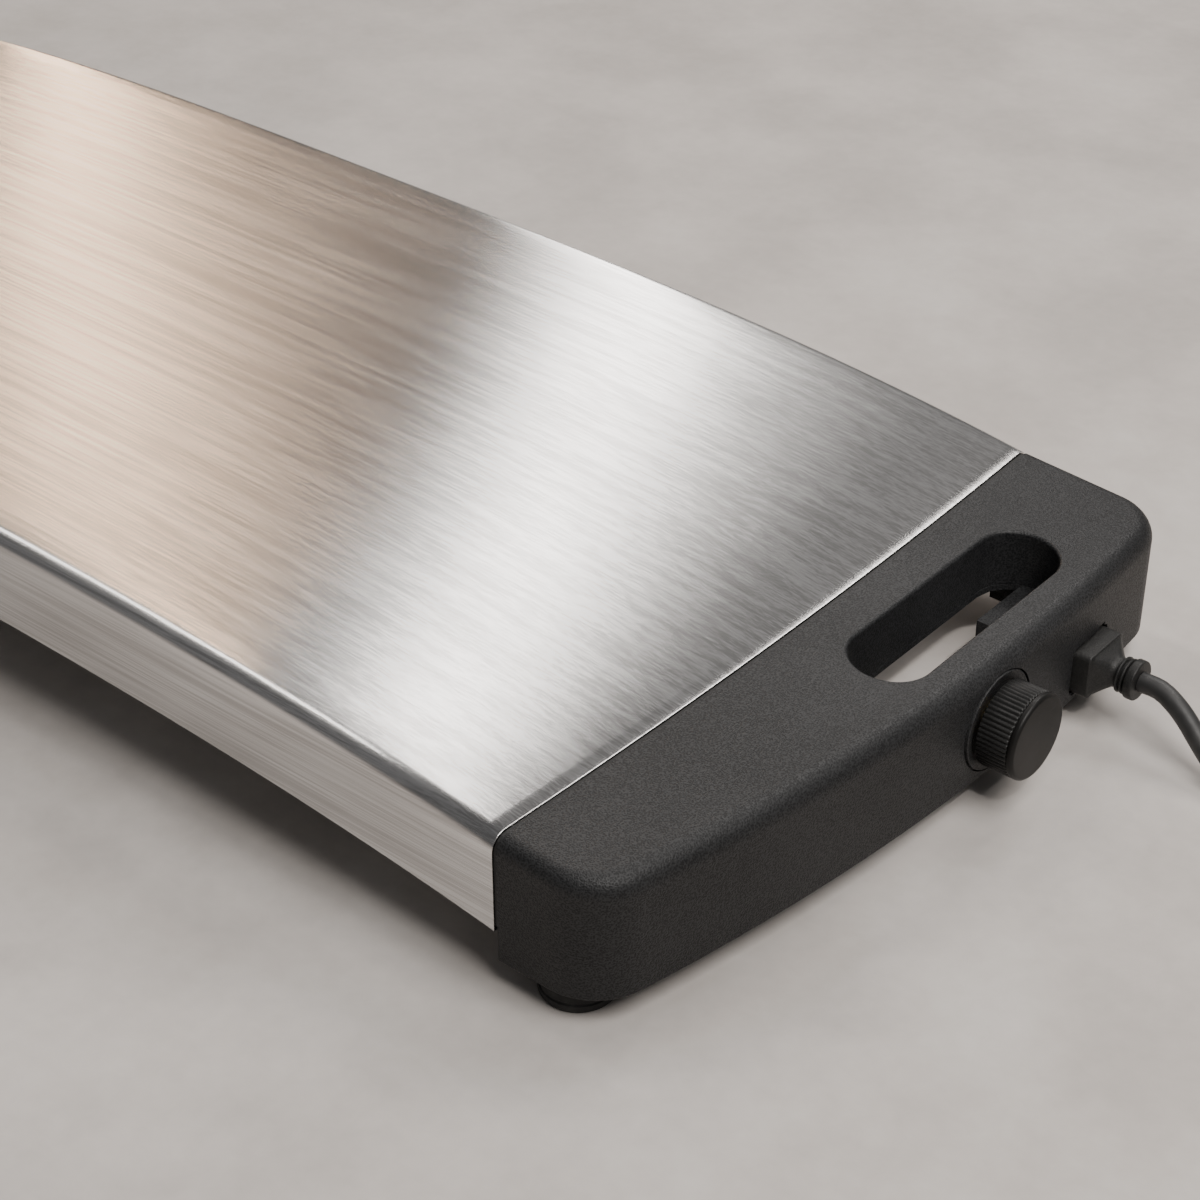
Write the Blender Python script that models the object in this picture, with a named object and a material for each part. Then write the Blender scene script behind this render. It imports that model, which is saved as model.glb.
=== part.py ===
"""Electric food warming tray, modelled at its real size in metres.

An arched sheet of brushed steel stands between two moulded end handles. The right
handle carries the rotary control and the inlet of a detachable mains lead. X runs
along the tray, +X towards the controls, Y runs from front to back, and Z is up.
The origin is on the table, under the middle of the tray's box.

Handle pieces are drawn in the handle's own place: u runs outwards from the steel's
end, v is Y, and z is the height above the table. The left handle is the mirror image.
"""

import math

import bmesh
import bpy
from mathutils import Matrix, Vector

# Clearances
FIT = 0.0003
RUNNING_GAP = 0.0006
OVERRUN = 0.005
WELD = 0.000001

# The steel top
TRAY_DEPTH = 0.320
STEEL_LENGTH = 0.700
END_HEIGHT = 0.0622
ARCH_RISE = 0.0150
ARCH_POWER = 3.2
ARCH_FACETS = 17
SKIRT_HEIGHT = 0.0395
SHEET = 0.0008
FOLD_RADIUS = 0.0065
FOLD_STEPS = 4
FLANGE_WIDTH = 0.014
JUNCTION_BOW = 0.0037
BOW_STEPS = 8

# The stack below the steel
SPREADER_THICKNESS = 0.0015
SPREADER_SIDE_MARGIN = 0.014
SPREADER_END_MARGIN = 0.019
ELEMENT_RADIUS = 0.0019
ELEMENT_RUNS = 4
ELEMENT_SIDE_MARGIN = 0.035
ELEMENT_TURN_MARGIN = 0.060
ELEMENT_TAIL_MARGIN = 0.028
ELEMENT_TURN_STEPS = 5
INSULATION_THICKNESS = 0.012
INSULATION_SIDE_MARGIN = 0.012
INSULATION_END_MARGIN = 0.050
PAN_SHEET = 0.0008
RIB_WIDTH = 0.030
RIB_FOOT = 0.010
RIB_SHEET = 0.0010
RIB_PLACE_SHARES = (-0.62, 0.0, 0.62)

# The joint between steel and handle
JOINT_GAP = 0.0016
SEAL_RECESS = 0.0005
SEAL_SLEEVE = 0.010
SPIGOT_INSET = 0.0030
SPIGOT_WALL = 0.0022
SPIGOT_LENGTH = 0.012
END_PLATE_SHEET = 0.0012
END_PLATE_LIP = 0.012

# The handle moulding
FOOT_HEIGHT = 0.010
HANDLE_REACH = 0.0543
HANDLE_SWELL = 0.0142
HANDLE_SKEW = 0.0114
HANDLE_FALL = 0.0032
HANDLE_EDGE_RADIUS = 0.0080
HANDLE_BOTTOM_RADIUS = 0.0012
FRONT_CORNER_RADIUS = 0.025
BACK_CORNER_RADIUS = 0.022
HANDLE_WALL = 0.0028
HANDLE_TOP_WALL = 0.0030
CORNER_STEPS = 5
OUTER_STEPS = 8
EDGE_STEPS = 4

# The finger slot and the recess below it
SLOT_CONTROL_GAP = 0.0004
SLOT_PLACE_SHARE = 0.325
SLOT_WIDTH = 0.0314
SLOT_LENGTH = 0.114
SLOT_LIP = 0.0025
SLOT_END_STEPS = 7
COLLAR_WALL = 0.0022
RECESS_FRONT_MARGIN = 0.009
RECESS_PIN_MARGIN = 0.0100
RECESS_STRIP_REACH = 0.008
RECESS_WALL = 0.0022
BASE_SHEET = 0.0025

# Feet
FOOT_U = 0.0226
FOOT_INSET = 0.0165
FOOT_RADIUS = 0.0139
FOOT_CHAMFER = 0.0012
FOOT_TAPER = 0.0012
FOOT_RECESS_RADIUS = 0.0052
FOOT_RECESS_DEPTH = 0.0045
FOOT_SEGMENTS = 20

# Screws
SCREW_RADIUS = 0.0018
SCREW_HEAD_RADIUS = 0.0034
SCREW_HEAD_HEIGHT = 0.0020
SCREW_LENGTH = 0.013
SCREW_SEGMENTS = 8
SCREW_WALL = 0.0020
END_SCREW_SHARES = (-0.66, 0.66)
END_SCREW_DEPTH = 0.021

# Knob, bezel ring and rotary control
KNOB_FORWARD = 0.0175
KNOB_RISE = 0.0220
BEZEL_RADIUS = 0.0198
BEZEL_BORE = 0.0160
BEZEL_THICKNESS = 0.0017
BEZEL_DISH = 0.0006
BEZEL_GROOVE = 0.0006
BEZEL_SINK = 0.0009
BEZEL_SEGMENTS = 32
CONTROL_PAD = 0.0025
CONTROL_RADIUS = 0.0080
CONTROL_DEPTH = 0.0085
BUSHING_RADIUS = 0.0045
SHAFT_RADIUS = 0.0030
SHAFT_END_WALL = 0.0012
SHAFT_GRIP = 0.0090
NUT_ACROSS = 0.0140
NUT_THICKNESS = 0.0020
KNOB_RADIUS = 0.0171
KNOB_RIB_HEIGHT = 0.0006
KNOB_RIBS = 56
KNOB_LENGTH = 0.0130
KNOB_EDGE = 0.0006
KNOB_WALL = 0.0022
CAP_THICKNESS = 0.0026
CAP_CHAMFER = 0.0009
CAP_STUB_RADIUS = 0.0060
CAP_STUB_LENGTH = 0.0015
ROUND_SEGMENTS = 24

# Appliance inlet
INLET_BACKWARD = 0.0470
INLET_FLOOR_GAP = 0.0013
INLET_ROOF_GAP = 0.0007
INLET_OPENING_SIDE_STEP = 0.0011
INLET_OPENING_TOP_STEP = 0.0026
INLET_OPENING_CORNER = 0.0025
INLET_NOTCH_WIDTH = 0.0040
INLET_NOTCH_HEIGHT = 0.0016
INLET_FRAME_DEPTH = 0.0061
INLET_FRAME_MARGIN = 0.0030
INLET_BODY_WALL = 0.0022
INLET_CAVITY_WIDTH = 0.0232
INLET_CAVITY_HEIGHT = 0.0152
INLET_CAVITY_DEPTH = 0.0147
INLET_BACK_WALL = 0.0030
INLET_FLANGE = 0.0015
INLET_PIN_WIDTH = 0.0040
INLET_PIN_HEIGHT = 0.0020
INLET_PIN_LENGTH = 0.0110
INLET_PIN_TAIL = 0.0030
INLET_PIN_SPACING = 0.0070
INLET_PIN_OFFSET = 0.0020

# Lead connector
CONNECTOR_SIDE_GAP = 0.0005
CONNECTOR_BLOCK_GAP = 0.0008
CONNECTOR_BLOCK_PROUD = 0.0070
CONNECTOR_CORNER = 0.0022
CONNECTOR_CHAMFER = 0.0008
CONNECTOR_SHOULDER = 0.0068
NECK_RADIUS = 0.0058
NECK_RIB_RADIUS = 0.0072
NECK_RIB_LENGTH = 0.0013
NECK_GROOVE_LENGTH = 0.0008
NECK_RIBS = 2
COLLAR_RADIUS = 0.0080
COLLAR_LENGTH = 0.0036
COLLAR_EDGE = 0.0006

# Mains cord: a free stretch, then a coil of piled turns, then the plug
CORD_RADIUS = 0.0040
CORD_STEP = 0.014
CORD_ROUTE = (
    (0.1075, 0.0974, 0.0220),
    (0.1142, 0.0956, 0.0187),
    (0.1222, 0.0927, 0.0136),
    (0.1308, 0.0894, 0.0088),
    (0.1405, 0.0855, 0.0056),
    (0.1530, 0.0803, 0.0043),
    (0.1660, 0.0761, 0.0044),
)
COIL_U = 0.2100
COIL_V = 0.1260
COIL_RADIUS = 0.0476
COIL_PITCH = 0.0088
COIL_LAYER_STEP = 0.0086
COIL_TURNS = 4.5
COIL_POINTS = 24
COIL_START = math.radians(-105)
COIL_REVERSAL = 0.10
TIE_THICKNESS = 0.0010
TIE_WIDTH = 0.016
TIE_CLEARANCE = 0.0006
TIE_ANGLE = math.radians(-15)

# Mains plug
PLUG_RELIEF_RADIUS = 0.0062
PLUG_RELIEF_GROOVE = 0.0010
PLUG_RELIEF_RIBS = 3
PLUG_RELIEF_LENGTH = 0.022
PLUG_BODY_LENGTH = 0.034
PLUG_BODY_WIDTH = 0.027
PLUG_BODY_CORNER = 0.006
PLUG_SHOULDER = 0.008
PLUG_EDGE = 0.0012
PLUG_BLADE_THICKNESS = 0.0015
PLUG_BLADE_HEIGHT = 0.0063
PLUG_BLADE_LENGTH = 0.0172
PLUG_BLADE_SPACING = 0.0127
PLUG_EARTH_RADIUS = 0.0024
PLUG_EARTH_LENGTH = 0.0205
PLUG_PIN_OFFSET = 0.0058

# Electronics and wires in the right handle
BOARD_REACH_SHARE = 0.49
BOARD_PLACE_SHARE = -0.5125
BOARD_WIDTH = 0.031
BOARD_LENGTH = 0.060
BOARD_THICKNESS = 0.0016
BOARD_POST_RADIUS = 0.0025
BOARD_POST_HEIGHT = 0.005
BOARD_POST_INSET = 0.0040
SINK_GAP = 0.0014
SINK_LENGTH = 0.022
SINK_HEIGHT = 0.020
SINK_BASE = 0.0030
SINK_FINS = 5
SINK_FIN_SHARE = 0.45
BLOCK_WIDTH = 0.010
BLOCK_LENGTH = 0.024
BLOCK_HEIGHT = 0.0115
BLOCK_WAYS = 3
WIRE_RADIUS = 0.0011
WIRE_STEP = 0.006
WIRE_HOLE_WIDTH = 0.020
WIRE_HOLE_HEIGHT = 0.012
WIRE_HOLE_DEPTH = 0.0212
EARTH_HOLE_MARGIN = 0.0068
EARTH_HOLE_DEPTH = 0.0115
EARTH_HOLE_RADIUS = 0.0025
CUTOFF_LENGTH = 0.016
CUTOFF_WIDTH = 0.009
CUTOFF_HEIGHT = 0.005
CUTOFF_PLACE_SHARE = 0.125
SENSOR_PLACE_SHARE = -0.25
SENSOR_RADIUS = 0.0024
SENSOR_LENGTH = 0.012
SENSOR_MARGIN = 0.035

# Sizes worked out from the ones above
HALF_LENGTH = STEEL_LENGTH / 2
HALF_DEPTH = TRAY_DEPTH / 2
HANDLE_SLOPE = HANDLE_FALL / HANDLE_REACH
HANDLE_MAX_REACH = HANDLE_REACH + HANDLE_SWELL + HANDLE_SKEW ** 2 / (4 * HANDLE_SWELL)
SPREADER_TOP = SHEET + FIT
SPREADER_BOTTOM = SPREADER_TOP + SPREADER_THICKNESS
ELEMENT_DEPTH = SPREADER_BOTTOM + FIT + ELEMENT_RADIUS
INSULATION_TOP = ELEMENT_DEPTH + ELEMENT_RADIUS + FIT
INSULATION_BOTTOM = INSULATION_TOP + INSULATION_THICKNESS
PAN_BOTTOM = SKIRT_HEIGHT - SHEET - FIT
PAN_TOP = PAN_BOTTOM - PAN_SHEET
HANDLE_BOTTOM = FOOT_HEIGHT
BASE_TOP = HANDLE_BOTTOM + BASE_SHEET
STEEL_END_BOTTOM = END_HEIGHT - SKIRT_HEIGHT


def handle_top(u):
    """Height of the handle's flat top, which falls gently outwards."""
    return END_HEIGHT - HANDLE_SLOPE * u


def handle_reach(v):
    """How far out the handle's bowed and skewed outer face stands at v."""
    share = v / HALF_DEPTH
    return HANDLE_REACH + HANDLE_SWELL * (1 - share ** 2) + HANDLE_SKEW * share


def junction_bow(v):
    """How far the steel's end line bows outwards at v."""
    return JUNCTION_BOW * (1 - (v / HALF_DEPTH) ** 2)


# Places along the tray's depth
SLOT_V = SLOT_PLACE_SHARE * HALF_DEPTH
SLOT_FRONT = SLOT_V - SLOT_LENGTH / 2
SLOT_BACK = SLOT_V + SLOT_LENGTH / 2
RECESS_FRONT = SLOT_FRONT - RECESS_FRONT_MARGIN
KNOB_V = SLOT_V - KNOB_FORWARD
INLET_V = SLOT_V + INLET_BACKWARD
FOOT_V = HALF_DEPTH - FOOT_INSET
BOARD_V = BOARD_PLACE_SHARE * HALF_DEPTH
WIRE_HOLE_V = BOARD_V
EARTH_HOLE_V = SLOT_BACK + COLLAR_WALL + EARTH_HOLE_MARGIN
CUTOFF_V = CUTOFF_PLACE_SHARE * HALF_DEPTH
SENSOR_V = SENSOR_PLACE_SHARE * HALF_DEPTH

# The inlet stands on the base's floor, and the slot's collar ends above it
INLET_BODY_WIDTH = INLET_CAVITY_WIDTH + 2 * INLET_BODY_WALL
INLET_BODY_HEIGHT = INLET_CAVITY_HEIGHT + 2 * INLET_BODY_WALL
INLET_OPENING_WIDTH = INLET_CAVITY_WIDTH + 2 * INLET_OPENING_SIDE_STEP
INLET_OPENING_HEIGHT = INLET_CAVITY_HEIGHT + 2 * INLET_OPENING_TOP_STEP
INLET_Z = BASE_TOP + INLET_FLOOR_GAP + INLET_BODY_HEIGHT / 2
RECESS_TOP = INLET_Z + INLET_BODY_HEIGHT / 2 + INLET_ROOF_GAP + BASE_SHEET
COLLAR_BOTTOM = RECESS_TOP + FIT
CONNECTOR_BLOCK_WIDTH = INLET_OPENING_WIDTH - 2 * CONNECTOR_BLOCK_GAP
CONNECTOR_BLOCK_HEIGHT = INLET_OPENING_HEIGHT - 2 * CONNECTOR_BLOCK_GAP
RECESS_WIDE_BACK = INLET_V - INLET_BODY_WIDTH / 2 - 2 * INLET_FRAME_MARGIN - RECESS_WALL
RECESS_NARROW_BACK = FOOT_V - FOOT_RADIUS - FOOT_TAPER - FIT
INLET_FACE = handle_reach(INLET_V) - INLET_FRAME_DEPTH
INLET_FRONT = INLET_FACE - FIT
INLET_CAVITY_BACK = INLET_FRONT - INLET_CAVITY_DEPTH
INLET_BACK = INLET_CAVITY_BACK - INLET_BACK_WALL
PIN_END = INLET_BACK - INLET_PIN_TAIL
PIN_TIP = INLET_CAVITY_BACK + INLET_PIN_LENGTH
RECESS_NARROW_REACH = PIN_END - RECESS_PIN_MARGIN
BLOCK_FRONT = handle_reach(INLET_V) + CONNECTOR_BLOCK_PROUD
KNOB_Z = HANDLE_BOTTOM + KNOB_RISE
BEZEL_FLOOR = handle_reach(KNOB_V - BEZEL_RADIUS) - BEZEL_SINK
PAD_FACE = BEZEL_FLOOR - CONTROL_PAD
CONTROL_FRONT = PAD_FACE - FIT
CONTROL_BACK = CONTROL_FRONT - CONTROL_DEPTH
NUT_BACK = BEZEL_FLOOR + FIT
NUT_FRONT = NUT_BACK + NUT_THICKNESS
BEZEL_FRONT = BEZEL_FLOOR + FIT + BEZEL_THICKNESS
KNOB_BACK = max(NUT_FRONT, BEZEL_FRONT) + RUNNING_GAP
KNOB_FRONT = KNOB_BACK + KNOB_LENGTH
CAP_BACK = KNOB_FRONT + FIT
CAP_FRONT = CAP_BACK + CAP_THICKNESS
SHAFT_BACK = CONTROL_BACK + SHAFT_END_WALL
SHAFT_FRONT = KNOB_BACK + SHAFT_GRIP
RECESS_WIDE_REACH = CONTROL_BACK - SLOT_CONTROL_GAP - RECESS_WALL
SLOT_OUTER = RECESS_WIDE_REACH - RUNNING_GAP
SLOT_U = SLOT_OUTER - SLOT_WIDTH / 2
BOARD_U = BOARD_REACH_SHARE * handle_reach(BOARD_V)
SINK_WIDTH = BOARD_WIDTH - BOARD_POST_INSET - SINK_GAP - BLOCK_WIDTH - BOARD_THICKNESS
COIL_LIFT = TIE_THICKNESS + FIT
COIL_LOW = COIL_LIFT + CORD_RADIUS
COIL_HIGH = COIL_LOW + COIL_LAYER_STEP
PLUG_AXIS = COIL_HIGH - TIE_THICKNESS / 2
BOARD_Z = BASE_TOP + BOARD_POST_HEIGHT

# The knob stands out at one end only, so the tray's middle lies off the origin
STEEL_CENTRE = -(CAP_FRONT - HANDLE_MAX_REACH) / 2
RIGHT_END = STEEL_CENTRE + HALF_LENGTH
LEFT_END = STEEL_CENTRE - HALF_LENGTH

# Colour, roughness and metallic value of each finish
FINISHES = {
    "brushed_steel": ((0.60, 0.57, 0.54), 0.32, 1.0),
    "sheet_steel": ((0.48, 0.48, 0.48), 0.45, 1.0),
    "aluminium": ((0.70, 0.71, 0.72), 0.40, 1.0),
    "element_sleeve": ((0.55, 0.20, 0.12), 0.60, 0.0),
    "insulation": ((0.82, 0.80, 0.74), 0.95, 0.0),
    "charcoal_plastic": ((0.055, 0.054, 0.052), 0.62, 0.0),
    "black_plastic": ((0.020, 0.020, 0.020), 0.45, 0.0),
    "knob_face": ((0.025, 0.024, 0.022), 0.42, 0.0),
    "soft_seal": ((0.012, 0.012, 0.012), 0.70, 0.0),
    "foot_rubber": ((0.015, 0.015, 0.015), 0.75, 0.0),
    "cord_sheath": ((0.014, 0.014, 0.014), 0.50, 0.0),
    "board_green": ((0.03, 0.16, 0.07), 0.50, 0.0),
    "component": ((0.10, 0.10, 0.12), 0.50, 0.0),
    "screw_steel": ((0.55, 0.55, 0.56), 0.35, 1.0),
    "brass": ((0.78, 0.60, 0.30), 0.30, 1.0),
    "wire_blue": ((0.05, 0.12, 0.45), 0.50, 0.0),
    "wire_red": ((0.45, 0.04, 0.03), 0.50, 0.0),
    "wire_earth": ((0.25, 0.45, 0.05), 0.50, 0.0),
    "tie_fabric": ((0.03, 0.03, 0.03), 0.90, 0.0),
}


def finish(name):
    """The finish's material, made once."""
    found = bpy.data.materials.get(name)
    if found:
        return found
    color, roughness, metallic = FINISHES[name]
    made = bpy.data.materials.new(name)
    made.use_nodes = True
    shader = made.node_tree.nodes["Principled BSDF"]
    shader.inputs["Base Color"].default_value = (*color, 1)
    shader.inputs["Roughness"].default_value = roughness
    shader.inputs["Metallic"].default_value = metallic
    made.diffuse_color = (*color, 1)
    return made


def place(name, solid, material, location=(0, 0, 0), mirrored=False, rotation=0.0):
    """Turn a built solid into a named object, smooth where its faces meet gently."""
    if mirrored:
        bmesh.ops.scale(solid, vec=(-1, 1, 1), verts=solid.verts)
        bmesh.ops.reverse_faces(solid, faces=solid.faces)
    mesh = bpy.data.meshes.new(name)
    solid.to_mesh(mesh)
    solid.free()
    mesh.shade_smooth()
    mesh.set_sharp_from_angle(angle=math.radians(35))
    mesh.materials.append(finish(material))
    made = bpy.data.objects.new(name, mesh)
    made.location = location
    made.rotation_euler[2] = rotation
    bpy.context.scene.collection.objects.link(made)
    return made


def loft(rings, cyclic=False):
    """A closed solid through rings of points, capped at both ends unless cyclic."""
    solid = bmesh.new()
    rows = [[solid.verts.new(point) for point in ring] for ring in rings]
    pairs = list(zip(rows, rows[1:]))
    if cyclic:
        pairs.append((rows[-1], rows[0]))
    for low, high in pairs:
        for index in range(len(low)):
            following = (index + 1) % len(low)
            solid.faces.new((low[index], low[following], high[following], high[index]))
    if not cyclic:
        solid.faces.new(list(reversed(rows[0])))
        solid.faces.new(rows[-1])
    bmesh.ops.remove_doubles(solid, verts=solid.verts, dist=WELD)
    bmesh.ops.recalc_face_normals(solid, faces=solid.faces)
    return solid


def join(*solids):
    """One bmesh that holds several separate solids."""
    joined = bmesh.new()
    for solid in solids:
        scratch = bpy.data.meshes.new("scratch")
        solid.to_mesh(scratch)
        solid.free()
        joined.from_mesh(scratch)
        bpy.data.meshes.remove(scratch)
    return joined


def moved(solid, offset):
    bmesh.ops.translate(solid, vec=offset, verts=solid.verts)
    return solid


def block(low, high):
    """A box between two corners."""
    (x0, y0, z0), (x1, y1, z1) = low, high
    outline = ((x0, y0), (x1, y0), (x1, y1), (x0, y1))
    return loft([[(x, y, z) for x, y in outline] for z in (z0, z1)])


def turned(profile, segments, axis="Z"):
    """A solid of revolution from (radius, height) points; radius zero closes on the axis."""
    solid = bmesh.new()
    rows = []
    for radius, height in profile:
        if radius == 0:
            rows.append([solid.verts.new((0, 0, height))])
            continue
        row = []
        for index in range(segments):
            angle = 2 * math.pi * index / segments
            row.append(solid.verts.new((radius * math.cos(angle), radius * math.sin(angle), height)))
        rows.append(row)
    pairs = list(zip(rows, rows[1:]))
    if profile[0][0] != 0:
        pairs.append((rows[-1], rows[0]))
    for low, high in pairs:
        for index in range(segments):
            following = (index + 1) % segments
            corners = [low[index % len(low)], low[following % len(low)]]
            corners += [high[following % len(high)], high[index % len(high)]]
            solid.faces.new(list(dict.fromkeys(corners)))
    bmesh.ops.recalc_face_normals(solid, faces=solid.faces)
    if axis == "X":
        bmesh.ops.rotate(solid, matrix=Matrix.Rotation(math.pi / 2, 3, "Y"), verts=solid.verts)
    return solid


def rod(radius, low, high, segments, axis="Z"):
    """A plain round bar between two heights on its axis."""
    return turned(((0, low), (radius, low), (radius, high), (0, high)), segments, axis)


def scratch_object(solid):
    mesh = bpy.data.meshes.new("scratch")
    solid.to_mesh(mesh)
    solid.free()
    made = bpy.data.objects.new("scratch", mesh)
    bpy.context.scene.collection.objects.link(made)
    return made


def combine(body, *steps):
    """Cut or join solids one after another: each step is an operation and its tool."""
    target = scratch_object(body)
    tools = []
    for operation, tool in steps:
        tools.append(scratch_object(tool))
        modifier = target.modifiers.new("step", "BOOLEAN")
        modifier.operation = operation
        modifier.solver = "EXACT"
        modifier.object = tools[-1]
    result = bmesh.new()
    result.from_object(target, bpy.context.evaluated_depsgraph_get())
    for item in [target, *tools]:
        mesh = item.data
        bpy.data.objects.remove(item)
        bpy.data.meshes.remove(mesh)
    bmesh.ops.remove_doubles(result, verts=result.verts, dist=WELD)
    # A cut can leave out one flat facet; its edges are closed again
    rims = [edge for edge in result.edges if edge.is_boundary]
    if rims:
        bmesh.ops.holes_fill(result, edges=rims)
    return result


def rounded_rectangle(half_width, half_height, radius, steps=3):
    """Outline points of a rounded rectangle, which is a circle where the radius fills it."""
    points = []
    for corner, (side, top) in enumerate(((1, 1), (-1, 1), (-1, -1), (1, -1))):
        for index in range(steps):
            angle = math.pi / 2 * (corner + (index + 0.5) / steps)
            points.append((
                side * (half_width - radius) + radius * math.cos(angle),
                top * (half_height - radius) + radius * math.sin(angle),
            ))
    return points


def smooth_route(route, step):
    """Points at an even step along one smooth curve through the route's points."""
    knots = [Vector(point) for point in route]
    knots = [2 * knots[0] - knots[1], *knots, 2 * knots[-1] - knots[-2]]
    fine = []
    for before, start, end, after in zip(knots, knots[1:], knots[2:], knots[3:]):
        pieces = max(2, 4 * math.ceil((end - start).length / step))
        for index in range(pieces):
            t = index / pieces
            fine.append(0.5 * (
                2 * start + (end - before) * t
                + (2 * before - 5 * start + 4 * end - after) * t ** 2
                + (3 * start - before - 3 * end + after) * t ** 3
            ))
    fine.append(knots[-2])
    length = sum((b - a).length for a, b in zip(fine, fine[1:]))
    count = max(2, round(length / step))
    points = [fine[0]]
    walked = 0.0
    for a, b in zip(fine, fine[1:]):
        stretch = (b - a).length
        while len(points) < count and walked + stretch >= len(points) * length / count:
            points.append(a.lerp(b, (len(points) * length / count - walked) / stretch))
        walked += stretch
    points.append(fine[-1])
    return points


def tube(name, line, radius, resolution, material, location=(0, 0, 0)):
    """A round tube along a list of points, as a curve object with filled caps."""
    curve = bpy.data.curves.new(name, "CURVE")
    curve.dimensions = "3D"
    curve.bevel_depth = radius
    curve.bevel_resolution = resolution
    curve.use_fill_caps = True
    spline = curve.splines.new("POLY")
    spline.points.add(len(line) - 1)
    for knot, point in zip(spline.points, line):
        knot.co = (*point, 1)
    curve.materials.append(finish(material))
    made = bpy.data.objects.new(name, curve)
    made.location = location
    bpy.context.scene.collection.objects.link(made)
    return made


# Arched pieces, drawn in the tray's own place with x from its middle

def arch(x):
    return END_HEIGHT + ARCH_RISE * (1 - abs(x / HALF_LENGTH) ** ARCH_POWER)


def steel_top(x):
    """Height of the steel's top at x, on the arch's straight facets."""
    step = STEEL_LENGTH / ARCH_FACETS
    index = min(max(int((x + HALF_LENGTH) / step), 0), ARCH_FACETS - 1)
    left = index * step - HALF_LENGTH
    share = (x - left) / step
    return arch(left) * (1 - share) + arch(left + step) * share


def stations(start, end):
    """Places along x where an arched piece has a ring of points."""
    step = STEEL_LENGTH / ARCH_FACETS
    inner = [index * step - HALF_LENGTH for index in range(ARCH_FACETS + 1)]
    inner = [x for x in inner if start + FIT < x < end - FIT]
    return [start, *inner, end]


def fold_contour(inset, bottom):
    """The steel's outline as (y, depth) from the front skirt's foot over to the back one."""
    radius = max(FOLD_RADIUS - inset, FIT)
    edge = HALF_DEPTH - inset
    front = [(-edge, bottom)]
    for index in range(FOLD_STEPS + 1):
        angle = math.pi / 2 * index / FOLD_STEPS
        y = -edge + radius * (1 - math.cos(angle))
        front.append((y, inset + radius * (1 - math.sin(angle))))
    flat = HALF_DEPTH - max(FOLD_RADIUS, inset + FIT)
    middle = [flat * (2 * index / BOW_STEPS - 1) for index in range(1, BOW_STEPS)]
    back = [(-y, depth) for y, depth in reversed(front)]
    return front + [(y, inset) for y in middle] + back


def arched(section, start, end, bowed=False):
    """Draw a (y, depth) section along the arch from start to end."""
    rings = []
    for x in stations(start, end):
        at_end = bowed and x in (start, end)
        ring = []
        for y, depth in section:
            place_x = x + math.copysign(junction_bow(y), x) if at_end else x
            ring.append((place_x, y, steel_top(place_x) - depth))
        rings.append(ring)
    return loft(rings)


def slab_section(half_width, top, bottom):
    return [(-half_width, bottom), (-half_width, top), (half_width, top), (half_width, bottom)]


def make_top_plate():
    flange = HALF_DEPTH - FLANGE_WIDTH
    outer = fold_contour(0, SKIRT_HEIGHT)
    inner = fold_contour(SHEET, SKIRT_HEIGHT - SHEET)
    section = outer
    section += [(flange, SKIRT_HEIGHT), (flange, SKIRT_HEIGHT - SHEET)]
    section += list(reversed(inner))
    section += [(-flange, SKIRT_HEIGHT - SHEET), (-flange, SKIRT_HEIGHT)]
    solid = arched(section, -HALF_LENGTH, HALF_LENGTH, bowed=True)
    place("top_plate", solid, "brushed_steel", (STEEL_CENTRE, 0, 0))


def make_base_pan():
    end = HALF_LENGTH - FIT
    section = slab_section(HALF_DEPTH - SHEET - FIT, PAN_TOP, PAN_BOTTOM)
    place("base_pan", arched(section, -end, end), "sheet_steel", (STEEL_CENTRE, 0, 0))


def make_heat_spreader():
    section = slab_section(HALF_DEPTH - SPREADER_SIDE_MARGIN, SPREADER_TOP, SPREADER_BOTTOM)
    end = HALF_LENGTH - SPREADER_END_MARGIN
    place("heat_spreader", arched(section, -end, end), "aluminium", (STEEL_CENTRE, 0, 0))


def element_line():
    """The element's centre line: runs along the tray, joined by half-round turns."""
    outer = HALF_DEPTH - ELEMENT_SIDE_MARGIN
    pitch = 2 * outer / (ELEMENT_RUNS - 1)
    turn = HALF_LENGTH - ELEMENT_TURN_MARGIN - pitch / 2
    tail = HALF_LENGTH - ELEMENT_TAIL_MARGIN
    plan = []
    for run in range(ELEMENT_RUNS):
        y = run * pitch - outer
        heading = -1 if run % 2 == 0 else 1
        start = tail if run == 0 else -heading * turn
        end = tail if run == ELEMENT_RUNS - 1 else heading * turn
        along = stations(min(start, end), max(start, end))
        if heading < 0:
            along.reverse()
        plan += [(x, y) for x in along]
        if run < ELEMENT_RUNS - 1:
            for index in range(1, ELEMENT_TURN_STEPS):
                angle = math.pi * index / ELEMENT_TURN_STEPS
                x = heading * (turn + pitch / 2 * math.sin(angle))
                plan.append((x, y + pitch / 2 * (1 - math.cos(angle))))
    return [(x, y, steel_top(x) - ELEMENT_DEPTH) for x, y in plan]


def make_heating_element():
    line = element_line()
    tube("heating_element", line, ELEMENT_RADIUS, 1, "element_sleeve", (STEEL_CENTRE, 0, 0))


def make_insulation_pad():
    half_width = HALF_DEPTH - INSULATION_SIDE_MARGIN
    section = slab_section(half_width, INSULATION_TOP, INSULATION_BOTTOM)
    end = HALF_LENGTH - INSULATION_END_MARGIN
    place("insulation_pad", arched(section, -end, end), "insulation", (STEEL_CENTRE, 0, 0))


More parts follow.
